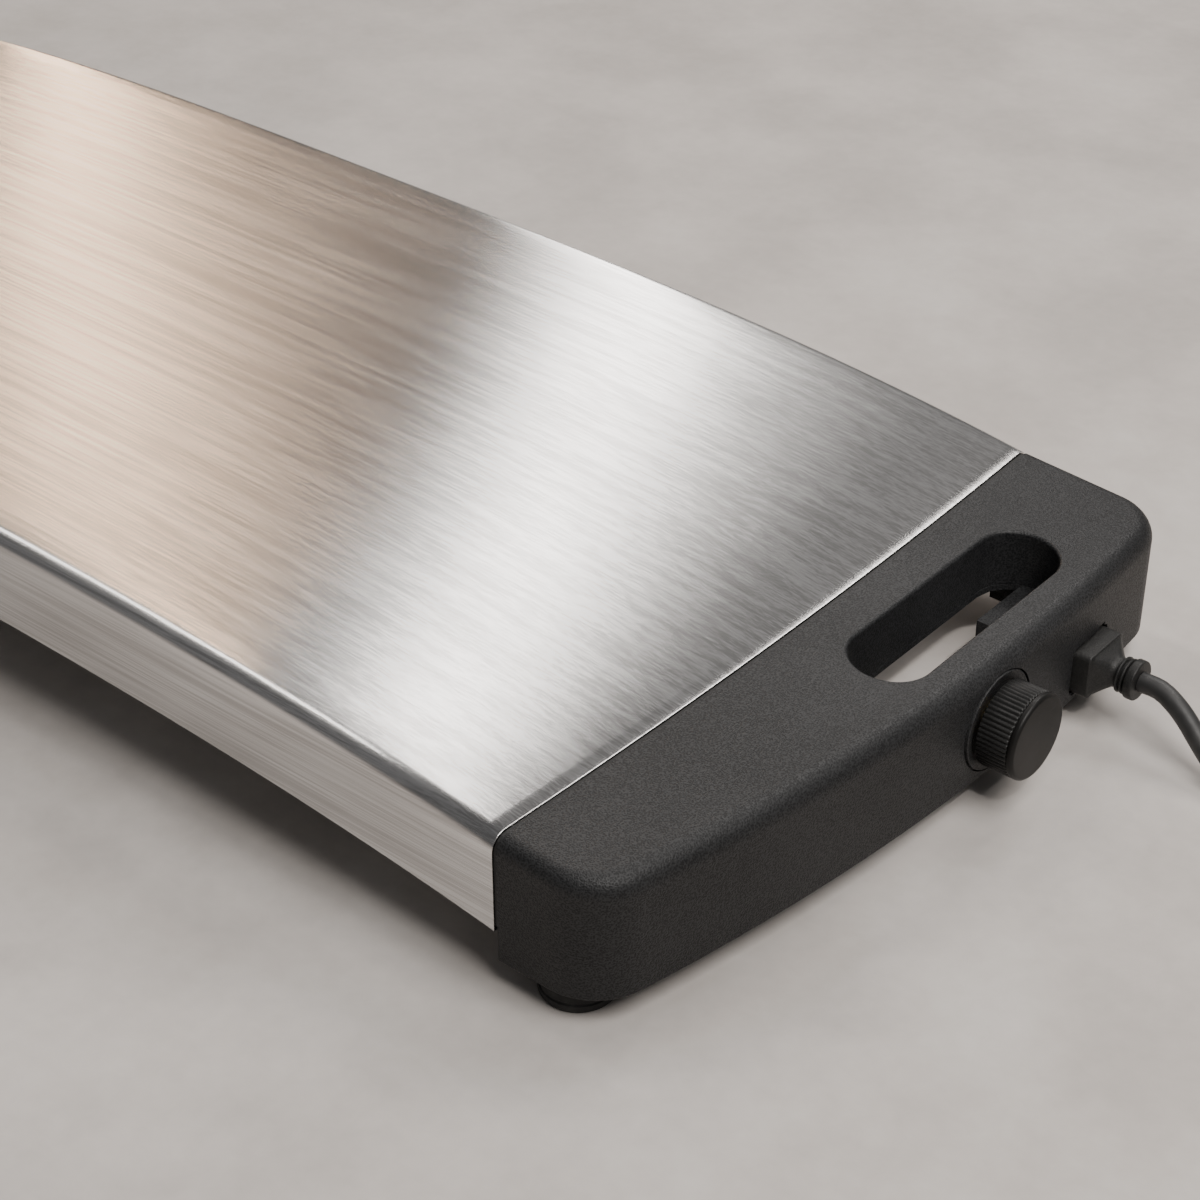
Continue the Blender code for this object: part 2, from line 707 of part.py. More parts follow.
def make_cross_ribs():
    """Hat-section ribs that stand on the pan and carry the insulation."""
    half = RIB_WIDTH / 2
    foot = half + RIB_FOOT
    top = INSULATION_BOTTOM + FIT
    bottom = PAN_TOP - FIT
    step = bottom - RIB_SHEET
    outline = [(-foot, bottom), (-foot, step), (-half, step), (-half, top)]
    outline += [(half, top), (half, step), (foot, step), (foot, bottom)]
    outline += [(half - RIB_SHEET, bottom), (half - RIB_SHEET, top + RIB_SHEET)]
    outline += [(RIB_SHEET - half, top + RIB_SHEET), (RIB_SHEET - half, bottom)]
    reach = HALF_DEPTH - SHEET - FIT
    for name, share in zip(("rib_left", "rib_middle", "rib_right"), RIB_PLACE_SHARES):
        middle = share * HALF_LENGTH
        rings = []
        for y in (-reach, reach):
            rings.append([(x, y, steel_top(middle + x) - depth) for x, depth in outline])
        place(name, loft(rings), "sheet_steel", (STEEL_CENTRE + middle, 0, 0))


# The joint between steel and handle, drawn in the handle's own place

def joint_top(u):
    """The steel's height carried on past its end."""
    return steel_top(HALF_LENGTH + u)


def joint_row(margin, from_end, offset):
    """Points under the steel's outline, at an inset, from its bowed end line or a flat plane."""
    row = []
    for y, depth in fold_contour(margin, PAN_TOP - FIT):
        u = offset + (junction_bow(y) if from_end else 0)
        row.append((u, y, joint_top(u) - depth))
    return row


def make_seal(name, location, mirrored):
    """Seal with a sleeve between spigot and steel, and a lip in the visible gap."""
    inner = SPIGOT_INSET - FIT
    rows = [
        joint_row(inner, False, -SEAL_SLEEVE),
        joint_row(SHEET + FIT, False, -SEAL_SLEEVE),
        joint_row(SHEET + FIT, True, FIT),
        joint_row(SEAL_RECESS, True, FIT),
        joint_row(SEAL_RECESS, True, JOINT_GAP - FIT),
        joint_row(inner, True, JOINT_GAP - FIT),
    ]
    place(name, loft(list(zip(*rows))), "soft_seal", location, mirrored)


def spigot():
    """The collar of the handle moulding that reaches in under the steel."""
    end = JOINT_GAP + HANDLE_WALL / 2
    rows = [
        joint_row(SPIGOT_INSET, False, -SPIGOT_LENGTH),
        joint_row(SPIGOT_INSET, True, end),
        joint_row(SPIGOT_INSET + SPIGOT_WALL, True, end),
        joint_row(SPIGOT_INSET + SPIGOT_WALL, False, -SPIGOT_LENGTH),
    ]
    return loft(list(zip(*rows)))


def end_screw_places():
    height = joint_top(-SPIGOT_LENGTH) - END_SCREW_DEPTH
    return [(share * HALF_DEPTH, height) for share in END_SCREW_SHARES]


def wire_hole():
    """Cutter for the wires between the handle and the tray."""
    middle = END_HEIGHT - WIRE_HOLE_DEPTH
    low = (-SPIGOT_LENGTH - 2 * OVERRUN, WIRE_HOLE_V - WIRE_HOLE_WIDTH / 2, middle - WIRE_HOLE_HEIGHT / 2)
    reach = junction_bow(0) + JOINT_GAP + HANDLE_WALL + OVERRUN
    high = (reach, WIRE_HOLE_V + WIRE_HOLE_WIDTH / 2, middle + WIRE_HOLE_HEIGHT / 2)
    return block(low, high)


def make_end_plate(name, location, mirrored, wired):
    """Sheet bulkhead behind the spigot, with a lip that lies on the pan."""
    front = -SPIGOT_LENGTH - FIT
    back = front - END_PLATE_SHEET
    bottom = PAN_TOP - FIT
    section = fold_contour(SHEET + FIT, bottom)
    rings = [[(u, y, joint_top(u) - depth) for y, depth in section] for u in (back, front)]
    lip_half = HALF_DEPTH - 2 * FLANGE_WIDTH
    lip = slab_section(lip_half, bottom - FIT - END_PLATE_SHEET, bottom - FIT)
    lip_rings = []
    for u in (back - END_PLATE_LIP, front - END_PLATE_SHEET / 2):
        lip_rings.append([(u, y, joint_top(u) - depth) for y, depth in lip])
    holes = []
    for v, height in end_screw_places():
        hole = rod(SCREW_RADIUS + FIT, back - OVERRUN, front + OVERRUN, SCREW_SEGMENTS, "X")
        holes.append(moved(hole, (0, v, height)))
    steps = [("UNION", loft(lip_rings)), ("DIFFERENCE", join(*holes))]
    if wired:
        steps.append(("DIFFERENCE", wire_hole()))
    place(name, combine(loft(rings), *steps), "sheet_steel", location, mirrored)


# The handle moulding

def corner_arc(side, radius):
    """Points of the rounded corner that joins the side face to the bowed outer face."""
    centre_v = side * (HALF_DEPTH - radius)
    touch = centre_v
    for _ in range(20):
        slope = (HANDLE_SKEW - 2 * HANDLE_SWELL * touch / HALF_DEPTH) / HALF_DEPTH
        tilt = math.atan2(-slope, 1)
        touch = centre_v + radius * math.sin(tilt)
    centre_u = handle_reach(touch) - radius * math.cos(tilt)
    start, end = (-math.pi / 2, tilt) if side < 0 else (tilt, math.pi / 2)
    points = []
    for index in range(CORNER_STEPS + 1):
        angle = start + (end - start) * index / CORNER_STEPS
        points.append((centre_u + radius * math.cos(angle), centre_v + radius * math.sin(angle)))
    return points


def handle_plan():
    """The handle's plan, anticlockwise, with the top edge's radius along each edge."""
    front = corner_arc(-1, FRONT_CORNER_RADIUS)
    back = corner_arc(1, BACK_CORNER_RADIUS)
    plan = [(JOINT_GAP, -HALF_DEPTH)] + front
    start, end = front[-1][1], back[0][1]
    for index in range(1, OUTER_STEPS):
        v = start + (end - start) * index / OUTER_STEPS
        plan.append((handle_reach(v), v))
    plan += back
    blend = [(index + 0.5) / CORNER_STEPS for index in range(CORNER_STEPS)]
    step = HANDLE_EDGE_RADIUS - FOLD_RADIUS
    radii = [FOLD_RADIUS] + [FOLD_RADIUS + step * share for share in blend]
    radii += [HANDLE_EDGE_RADIUS] * OUTER_STEPS
    radii += [HANDLE_EDGE_RADIUS - step * share for share in blend] + [FOLD_RADIUS]
    flat = HALF_DEPTH - FOLD_RADIUS
    inner = [(JOINT_GAP, HALF_DEPTH)]
    for index in range(BOW_STEPS + 1):
        v = flat * (1 - 2 * index / BOW_STEPS)
        inner.append((JOINT_GAP + junction_bow(v), v))
    return plan + inner, radii + [0.0] * len(inner)


def inset(plan, distances):
    """Move each edge of an anticlockwise outline inwards by its own distance."""
    points = []
    for index, (u, v) in enumerate(plan):
        before = plan[index - 1]
        after = plan[(index + 1) % len(plan)]
        first = Vector((v - before[1], before[0] - u)).normalized()
        second = Vector((after[1] - v, u - after[0])).normalized()
        a, b = distances[index - 1], distances[index]
        turn = first.x * second.y - first.y * second.x
        if abs(turn) < math.sin(math.radians(3)):
            middle = (first + second) / (1 + first.dot(second))
            points.append((u - middle.x * (a + b) / 2, v - middle.y * (a + b) / 2))
        else:
            shift_u = (b * first.y - a * second.y) / turn
            shift_v = (a * second.x - b * first.x) / turn
            points.append((u + shift_u, v + shift_v))
    return points


def shell_body():
    """The handle's outer form, with its rounded top and bottom edges."""
    plan, radii = handle_plan()
    corner_radii = [max(radii[index - 1], radii[index]) for index in range(len(plan))]
    bottoms = [HANDLE_BOTTOM_RADIUS if radius else 0.0 for radius in radii]
    rings = []
    for height, share in ((0, 1), (0.35, 0.35), (1, 0)):
        outline = inset(plan, [share * bottom for bottom in bottoms])
        z = HANDLE_BOTTOM + height * HANDLE_BOTTOM_RADIUS
        rings.append([(u, v, z) for u, v in outline])
    for index in range(EDGE_STEPS + 1):
        angle = math.pi / 2 * index / EDGE_STEPS
        outline = inset(plan, [radius * (1 - math.cos(angle)) for radius in radii])
        ring = []
        for (u, v), radius in zip(outline, corner_radii):
            ring.append((u, v, handle_top(u) - radius * (1 - math.sin(angle))))
        rings.append(ring)
    return loft(rings)


def cavity_plan(extra=0.0):
    plan, radii = handle_plan()
    return inset(plan, [HANDLE_WALL + extra] * len(radii))


def shell_cavity():
    """The hollow inside the moulding, chamfered where the top edge is rounded."""
    low = cavity_plan()
    high = cavity_plan(HANDLE_TOP_WALL)
    shoulder = 2 * HANDLE_TOP_WALL
    rings = [
        [(u, v, HANDLE_BOTTOM - OVERRUN) for u, v in low],
        [(u, v, handle_top(u) - shoulder) for u, v in low],
        [(u, v, handle_top(u) - HANDLE_TOP_WALL) for u, v in high],
    ]
    return loft(rings)


def slot_outline(grow):
    """The slot's long rounded outline, grown by a margin."""
    radius = SLOT_WIDTH / 2 + grow
    straight = (SLOT_LENGTH - SLOT_WIDTH) / 2
    points = []
    for side in (1, -1):
        for index in range(SLOT_END_STEPS + 1):
            angle = math.pi * index / SLOT_END_STEPS + (0 if side > 0 else math.pi)
            u = SLOT_U + radius * math.cos(angle)
            points.append((u, SLOT_V + side * straight + radius * math.sin(angle)))
    return points


def slot_collar():
    """The wall around the slot, down from the top."""
    outline = slot_outline(COLLAR_WALL)
    low = [(u, v, COLLAR_BOTTOM) for u, v in outline]
    high = [(u, v, handle_top(u) - HANDLE_TOP_WALL / 2) for u, v in outline]
    return loft([low, high])


def slot_cutter():
    """The slot itself, flared to a rounded lip at the top."""
    rings = [[(u, v, HANDLE_BOTTOM - OVERRUN) for u, v in slot_outline(0)]]
    for degrees in (0, 25, 50, 75):
        angle = math.radians(degrees)
        ring = []
        for u, v in slot_outline(SLOT_LIP * (1 - math.cos(angle))):
            ring.append((u, v, handle_top(u) - SLOT_LIP * (1 - math.sin(angle))))
        rings.append(ring)
    rings.append([(u, v, z + OVERRUN) for u, v, z in rings[-1]])
    return loft(rings)


def prism(outline, low, high):
    """An upright solid over a plan."""
    return loft([[(u, v, z) for u, v in outline] for z in (low, high)])


def recess_outline(grow):
    """The finger recess in plan, grown by a margin, open towards the tray.

    It is wide below the front of the slot and narrower behind, beside the inlet.
    """
    front = RECESS_FRONT - grow
    wide = RECESS_WIDE_REACH + grow
    narrow = RECESS_NARROW_REACH + grow
    strip = RECESS_STRIP_REACH + grow
    strip_back = HALF_DEPTH - HANDLE_WALL - RUNNING_GAP - RECESS_WALL + grow
    return (
        (-OVERRUN, front),
        (wide, front),
        (wide, RECESS_WIDE_BACK + grow),
        (narrow, RECESS_WIDE_BACK + grow),
        (narrow, RECESS_NARROW_BACK + grow),
        (strip, RECESS_NARROW_BACK + grow),
        (strip, strip_back),
        (-OVERRUN, strip_back),
    )


def inner_wall_cutter():
    """Opens the handle's inner wall below the steel, where the recess lies."""
    reach = junction_bow(0) + JOINT_GAP + HANDLE_WALL + FIT
    outline = recess_outline(0)
    front, back = outline[0][1], outline[-1][1]
    return block((-OVERRUN, front, HANDLE_BOTTOM - OVERRUN), (reach, back, STEEL_END_BOTTOM))


def end_bosses():
    """Bosses inside the spigot that take the handle screws."""
    bosses = []
    for v, height in end_screw_places():
        end = junction_bow(v) + JOINT_GAP + HANDLE_WALL / 2
        boss = rod(SCREW_RADIUS + FIT + SCREW_WALL, -SPIGOT_LENGTH, end, SCREW_SEGMENTS, "X")
        bosses.append(moved(boss, (0, v, height)))
    return join(*bosses)


def end_screw_bores():
    bores = []
    for v, height in end_screw_places():
        bore = rod(SCREW_RADIUS + FIT, -SPIGOT_LENGTH - OVERRUN, FIT, SCREW_SEGMENTS, "X")
        bores.append(moved(bore, (0, v, height)))
    return join(*bores)


def foot_bosses():
    """Upright bosses that take the screws through feet and base cover."""
    bosses = []
    for v in (-FOOT_V, FOOT_V):
        top = handle_top(FOOT_U) - HANDLE_TOP_WALL / 2
        boss = rod(SCREW_RADIUS + FIT + SCREW_WALL, BASE_TOP + FIT, top, SCREW_SEGMENTS)
        bosses.append(moved(boss, (FOOT_U, v, 0)))
    return join(*bosses)


def foot_screw_bores():
    bores = []
    for v in (-FOOT_V, FOOT_V):
        top = BASE_TOP + SCREW_LENGTH
        bore = rod(SCREW_RADIUS + FIT, HANDLE_BOTTOM - OVERRUN, top, SCREW_SEGMENTS)
        bores.append(moved(bore, (FOOT_U, v, 0)))
    return join(*bores)


def control_pad():
    """Flat pad behind the bezel ring, which carries the rotary control."""
    radius = BEZEL_RADIUS + BEZEL_GROOVE + RECESS_WALL
    pad = moved(rod(radius, PAD_FACE, BEZEL_FLOOR + FIT, BEZEL_SEGMENTS, "X"), (0, KNOB_V, KNOB_Z))
    under = block(
        (PAD_FACE - OVERRUN, KNOB_V - 2 * radius, -radius),
        (BEZEL_FLOOR + OVERRUN, KNOB_V + 2 * radius, BASE_TOP + FIT),
    )
    return combine(pad, ("DIFFERENCE", under))


def control_cutters():
    """The bezel ring's shallow pocket and the hole for the control's bushing."""
    out = handle_reach(KNOB_V) + OVERRUN
    pocket = rod(BEZEL_RADIUS + BEZEL_GROOVE, BEZEL_FLOOR, out, BEZEL_SEGMENTS, "X")
    hole = rod(BUSHING_RADIUS + FIT, PAD_FACE - OVERRUN, BEZEL_FLOOR + OVERRUN, ROUND_SEGMENTS, "X")
    return combine(
        moved(pocket, (0, KNOB_V, KNOB_Z)),
        ("UNION", moved(hole, (0, KNOB_V, KNOB_Z))),
    )


def inlet_frame():
    """Thick frame around the connector opening."""
    half_width = INLET_OPENING_WIDTH / 2 + INLET_FRAME_MARGIN
    top = INLET_Z + INLET_OPENING_HEIGHT / 2 + INLET_NOTCH_HEIGHT
    outer = handle_reach(INLET_V) - HANDLE_WALL / 2
    low = (INLET_FACE, INLET_V - half_width, BASE_TOP + FIT)
    return block(low, (outer, INLET_V + half_width, top + COLLAR_WALL / 2))


def inlet_cutter():
    """The connector's opening, with the small keying notch at its upper corner."""
    half_width = INLET_OPENING_WIDTH / 2
    half_height = INLET_OPENING_HEIGHT / 2
    outline = rounded_rectangle(half_width, half_height, INLET_OPENING_CORNER)
    inside = INLET_FACE - OVERRUN
    out = handle_reach(INLET_V) + OVERRUN
    rings = [[(u, INLET_V + v, INLET_Z + z) for v, z in outline] for u in (inside, out)]
    notch_side = INLET_V + half_width - INLET_OPENING_CORNER
    notch = block(
        (inside, notch_side - INLET_NOTCH_WIDTH, INLET_Z),
        (out, notch_side, INLET_Z + half_height + INLET_NOTCH_HEIGHT),
    )
    return combine(loft(rings), ("UNION", notch))


def make_handle_shell(name, location, mirrored, controls):
    steps = [
        ("DIFFERENCE", shell_cavity()),
        ("UNION", spigot()),
        ("UNION", end_bosses()),
        ("UNION", foot_bosses()),
        ("UNION", slot_collar()),
    ]
    if controls:
        steps += [("UNION", control_pad()), ("UNION", inlet_frame())]
    steps += [
        ("DIFFERENCE", slot_cutter()),
        ("DIFFERENCE", inner_wall_cutter()),
        ("DIFFERENCE", end_screw_bores()),
        ("DIFFERENCE", foot_screw_bores()),
    ]
    if controls:
        earth = moved(
            rod(EARTH_HOLE_RADIUS, -OVERRUN, 2 * OVERRUN, SCREW_SEGMENTS, "X"),
            (0, EARTH_HOLE_V, END_HEIGHT - EARTH_HOLE_DEPTH),
        )
        steps += [
            ("DIFFERENCE", control_cutters()),
            ("DIFFERENCE", inlet_cutter()),
            ("DIFFERENCE", wire_hole()),
            ("DIFFERENCE", earth),
        ]
    place(name, combine(shell_body(), *steps), "charcoal_plastic", location, mirrored)


def board_posts():
    """Short posts on the base that carry the control board."""
    posts = []
    for side_u in (-1, 1):
        for side_v in (-1, 1):
            post = rod(BOARD_POST_RADIUS, BASE_TOP - BASE_SHEET / 2, BOARD_Z - FIT, SCREW_SEGMENTS)
            u = BOARD_U + side_u * (BOARD_WIDTH / 2 - BOARD_POST_INSET)
            v = BOARD_V + side_v * (BOARD_LENGTH / 2 - BOARD_POST_INSET)
            posts.append(moved(post, (u, v, 0)))
    return join(*posts)


def make_handle_base(name, location, mirrored, controls):
    """Base cover, carved from one block: a floor with the finger recess raised out of it."""
    plan = cavity_plan(FIT)
    under_roof = RECESS_TOP - BASE_SHEET
    over = RECESS_TOP + OVERRUN
    far = TRAY_DEPTH
    frame = ((-OVERRUN, -far), (far, -far), (far, far), (-OVERRUN, far))
    roof = block(
        (RECESS_NARROW_REACH, RECESS_WIDE_BACK, under_roof),
        (SLOT_OUTER + RECESS_WALL, SLOT_BACK + COLLAR_WALL, over + OVERRUN),
    )
    above_floor = combine(
        prism(frame, BASE_TOP, over),
        ("DIFFERENCE", prism(recess_outline(RECESS_WALL), HANDLE_BOTTOM, over + OVERRUN)),
        ("DIFFERENCE", roof),
    )
    hollow = prism(recess_outline(0), HANDLE_BOTTOM - OVERRUN, under_roof)
    slot = combine(
        prism(slot_outline(0), under_roof - OVERRUN, over),
        ("INTERSECT", prism(recess_outline(0), HANDLE_BOTTOM, over + OVERRUN)),
    )
    steps = [("DIFFERENCE", above_floor), ("DIFFERENCE", hollow), ("DIFFERENCE", slot)]
    if controls:
        steps.append(("UNION", board_posts()))
    steps.append(("DIFFERENCE", foot_screw_bores()))
    body = prism(plan, HANDLE_BOTTOM, RECESS_TOP)
    place(name, combine(body, *steps), "charcoal_plastic", location, mirrored)


def make_foot(name, location):
    top = FOOT_HEIGHT - FIT
    bore = SCREW_RADIUS + FIT
    profile = (
        (FOOT_RECESS_RADIUS, 0),
        (FOOT_RADIUS - FOOT_CHAMFER, 0),
        (FOOT_RADIUS, FOOT_CHAMFER),
        (FOOT_RADIUS - FOOT_TAPER, top),
        (bore, top),
        (bore, FOOT_RECESS_DEPTH),
        (FOOT_RECESS_RADIUS, FOOT_RECESS_DEPTH),
    )
    place(name, turned(profile, FOOT_SEGMENTS), "foot_rubber", location)


# Screws

def screw(length):
    """A screw that points up, its head's underside at zero."""
    return turned(
        (
            (0, -SCREW_HEAD_HEIGHT),
            (SCREW_HEAD_RADIUS - SCREW_HEAD_HEIGHT / 2, -SCREW_HEAD_HEIGHT),
            (SCREW_HEAD_RADIUS, -SCREW_HEAD_HEIGHT / 2),
            (SCREW_HEAD_RADIUS, 0),
            (SCREW_RADIUS, 0),
            (SCREW_RADIUS, length),
            (0, length),
        ),
        SCREW_SEGMENTS,
    )


def make_screws():
    """One screw behind each end of a handle, and one up through each foot."""
    under_plate = -SPIGOT_LENGTH - 2 * FIT - END_PLATE_SHEET
    foot_screw_length = BASE_TOP + SCREW_LENGTH - FOOT_RECESS_DEPTH - RUNNING_GAP
    for side, end, sign in (("right", RIGHT_END, 1), ("left", LEFT_END, -1)):
        for row, (v, height) in zip(("front", "back"), end_screw_places()):
            solid = screw(SPIGOT_LENGTH)
            bmesh.ops.rotate(solid, matrix=Matrix.Rotation(sign * math.pi / 2, 3, "Y"), verts=solid.verts)
            location = (end + sign * under_plate, v, height)
            place(f"{side}_{row}_handle_screw", solid, "screw_steel", location)
        for row, v in (("front", -FOOT_V), ("back", FOOT_V)):
            location = (end + sign * FOOT_U, v, FOOT_RECESS_DEPTH - FIT)
            place(f"{side}_{row}_foot_screw", screw(foot_screw_length), "screw_steel", location)


# Knob and rotary control, turned about X with the knob's axis as origin

def place_control(name, solid, material):
    place(name, solid, material, (RIGHT_END, KNOB_V, KNOB_Z))


def make_controls():
    back = BEZEL_FLOOR + FIT
    ring = (
        (BEZEL_BORE, back),
        (BEZEL_RADIUS, back),
        (BEZEL_RADIUS, BEZEL_FRONT),
        (BEZEL_BORE, BEZEL_FRONT - BEZEL_DISH),
    )
    place_control("bezel_ring", turned(ring, BEZEL_SEGMENTS, "X"), "charcoal_plastic")

    bore = SHAFT_RADIUS + FIT
    bushing_front = NUT_FRONT
    body = (
        (0, CONTROL_BACK),
        (CONTROL_RADIUS, CONTROL_BACK),
        (CONTROL_RADIUS, CONTROL_FRONT),
        (BUSHING_RADIUS, CONTROL_FRONT),
        (BUSHING_RADIUS, bushing_front),
        (bore, bushing_front),
        (bore, SHAFT_BACK - FIT),
        (0, SHAFT_BACK - FIT),
    )
    place_control("rotary_control", turned(body, ROUND_SEGMENTS, "X"), "component")

    shaft = rod(SHAFT_RADIUS, SHAFT_BACK, SHAFT_FRONT, ROUND_SEGMENTS, "X")
    place_control("control_shaft", shaft, "aluminium")

    nut = rod(NUT_ACROSS / 2 / math.cos(math.pi / 6), NUT_BACK, NUT_FRONT, 6, "X")
    hole = rod(BUSHING_RADIUS + FIT, NUT_BACK - OVERRUN, NUT_FRONT + OVERRUN, ROUND_SEGMENTS, "X")
    place_control("control_nut", combine(nut, ("DIFFERENCE", hole)), "brass")


def make_knob():
    """Hollow knurled knob with a hub for the shaft, and the smooth cap in front of it."""
    rings = []
    for x, lift in ((KNOB_BACK, 0), (KNOB_BACK + KNOB_EDGE, 1), (KNOB_FRONT - KNOB_EDGE, 1), (KNOB_FRONT, 0)):
        ring = []
        for index in range(2 * KNOB_RIBS):
            angle = math.pi * index / KNOB_RIBS
            radius = KNOB_RADIUS - KNOB_RIB_HEIGHT
            if index % 2 == 0:
                radius += lift * KNOB_RIB_HEIGHT
            ring.append((x, radius * math.cos(angle), radius * math.sin(angle)))
        rings.append(ring)
    web = KNOB_FRONT - KNOB_WALL - CAP_STUB_LENGTH
    hub = SHAFT_RADIUS + FIT + KNOB_WALL
    hollow = turned(
        (
            (hub, KNOB_BACK - OVERRUN),
            (KNOB_RADIUS - KNOB_RIB_HEIGHT - KNOB_WALL, KNOB_BACK - OVERRUN),
            (KNOB_RADIUS - KNOB_RIB_HEIGHT - KNOB_WALL, web),
            (hub, web),
        ),
        ROUND_SEGMENTS,
        "X",
    )
    bore = rod(SHAFT_RADIUS + FIT, KNOB_BACK - OVERRUN, SHAFT_FRONT + FIT, ROUND_SEGMENTS, "X")
    seat = rod(CAP_STUB_RADIUS + FIT, KNOB_FRONT - CAP_STUB_LENGTH, KNOB_FRONT + OVERRUN, ROUND_SEGMENTS, "X")
    knob = combine(loft(rings), ("DIFFERENCE", hollow), ("DIFFERENCE", bore), ("DIFFERENCE", seat))
    place_control("control_knob", knob, "black_plastic")

    cap = (
        (0, KNOB_FRONT - CAP_STUB_LENGTH + FIT),
        (CAP_STUB_RADIUS, KNOB_FRONT - CAP_STUB_LENGTH + FIT),
        (CAP_STUB_RADIUS, CAP_BACK),
        (KNOB_RADIUS, CAP_BACK),
        (KNOB_RADIUS, CAP_FRONT - CAP_CHAMFER),
        (KNOB_RADIUS - CAP_CHAMFER, CAP_FRONT),
        (0, CAP_FRONT),
    )
    place_control("knob_cap", turned(cap, BEZEL_SEGMENTS, "X"), "knob_face")


# Appliance inlet and the lead's connector, drawn about the connector's axis

def place_inlet(name, solid, material):
    place(name, solid, material, (RIGHT_END, INLET_V, INLET_Z))


def pin_boxes(start, end, grow):
    """The neutral, live and earth pins as boxes, grown by a margin."""
    places = ((-INLET_PIN_SPACING, -INLET_PIN_OFFSET), (INLET_PIN_SPACING, -INLET_PIN_OFFSET))
    places += ((0, INLET_PIN_OFFSET),)
    half_width = INLET_PIN_WIDTH / 2 + grow
    half_height = INLET_PIN_HEIGHT / 2 + grow
    boxes = []
    for y, z in places:
        boxes.append(block((start, y - half_width, z - half_height), (end, y + half_width, z + half_height)))
    return boxes


def make_inlet():
    half_width = INLET_BODY_WIDTH / 2
    half_height = INLET_BODY_HEIGHT / 2
    body = block((INLET_BACK, -half_width, -half_height), (INLET_FRONT, half_width, half_height))
    wide = half_width + INLET_FRAME_MARGIN / 2
    flange = block((INLET_FRONT - INLET_FLANGE, -wide, -half_height), (INLET_FRONT, wide, half_height))
    cavity = block(
        (INLET_CAVITY_BACK, -INLET_CAVITY_WIDTH / 2, -INLET_CAVITY_HEIGHT / 2),
        (INLET_FRONT + OVERRUN, INLET_CAVITY_WIDTH / 2, INLET_CAVITY_HEIGHT / 2),
    )
    holes = join(*pin_boxes(INLET_BACK - OVERRUN, INLET_FRONT, FIT))
    solid = combine(body, ("UNION", flange), ("DIFFERENCE", cavity), ("DIFFERENCE", holes))
    place_inlet("inlet_socket", solid, "black_plastic")
    for name, pin in zip(("neutral", "live", "earth"), pin_boxes(PIN_END, PIN_TIP, 0)):
        place_inlet(f"inlet_{name}_pin", pin, "brass")


def connector_rings():
    """Cross-sections of the connector from its nose to the collar where the cord leaves."""
    nose_width = INLET_CAVITY_WIDTH / 2 - CONNECTOR_SIDE_GAP
    nose_height = INLET_CAVITY_HEIGHT / 2 - CONNECTOR_SIDE_GAP
    width = CONNECTOR_BLOCK_WIDTH / 2
    height = CONNECTOR_BLOCK_HEIGHT / 2
    edge = CONNECTOR_CHAMFER
    tip = INLET_CAVITY_BACK + RUNNING_GAP
    block_back = INLET_FRONT + RUNNING_GAP
    neck = BLOCK_FRONT + CONNECTOR_SHOULDER
    sections = [
        (tip, nose_width - edge, nose_height - edge, CONNECTOR_CORNER),
        (tip + edge, nose_width, nose_height, CONNECTOR_CORNER),
        (block_back, nose_width, nose_height, CONNECTOR_CORNER),
        (block_back, width, height, CONNECTOR_CORNER),
        (BLOCK_FRONT - edge, width, height, CONNECTOR_CORNER),
        (BLOCK_FRONT, width - edge, height - edge, CONNECTOR_CORNER),
        (neck - CONNECTOR_SHOULDER / 3, NECK_RIB_RADIUS + edge, NECK_RIB_RADIUS, height / 2),
        (neck, NECK_RADIUS, NECK_RADIUS, NECK_RADIUS),
    ]
    x = neck
    for _ in range(NECK_RIBS):
        for radius, length in ((NECK_RADIUS, NECK_GROOVE_LENGTH), (NECK_RIB_RADIUS, NECK_RIB_LENGTH)):
            sections.append((x, radius, radius, radius))
            x += length
            sections.append((x, radius, radius, radius))
    sections.append((x, NECK_RADIUS, NECK_RADIUS, NECK_RADIUS))
    x += NECK_GROOVE_LENGTH
    rounded = COLLAR_RADIUS - COLLAR_EDGE
    sections.append((x, NECK_RADIUS, NECK_RADIUS, NECK_RADIUS))
    sections.append((x, rounded, rounded, rounded))
    sections.append((x + COLLAR_EDGE, COLLAR_RADIUS, COLLAR_RADIUS, COLLAR_RADIUS))
    x += COLLAR_LENGTH
    sections.append((x - COLLAR_EDGE, COLLAR_RADIUS, COLLAR_RADIUS, COLLAR_RADIUS))
    sections.append((x, rounded, rounded, rounded))
    rings = []
    for place_x, half_width, half_height, corner in sections:
        outline = rounded_rectangle(half_width, half_height, corner, 5)
        rings.append([(place_x, y, z) for y, z in outline])
    return rings


def make_connector():
    slots = join(*pin_boxes(INLET_CAVITY_BACK - OVERRUN, PIN_TIP + RUNNING_GAP, FIT))
    solid = combine(loft(connector_rings()), ("DIFFERENCE", slots))
    place_inlet("lead_connector", solid, "black_plastic")


def connector_end():
    """Where the cord leaves the connector, in the handle's own place."""
    return connector_rings()[-1][0][0]


# The mains cord

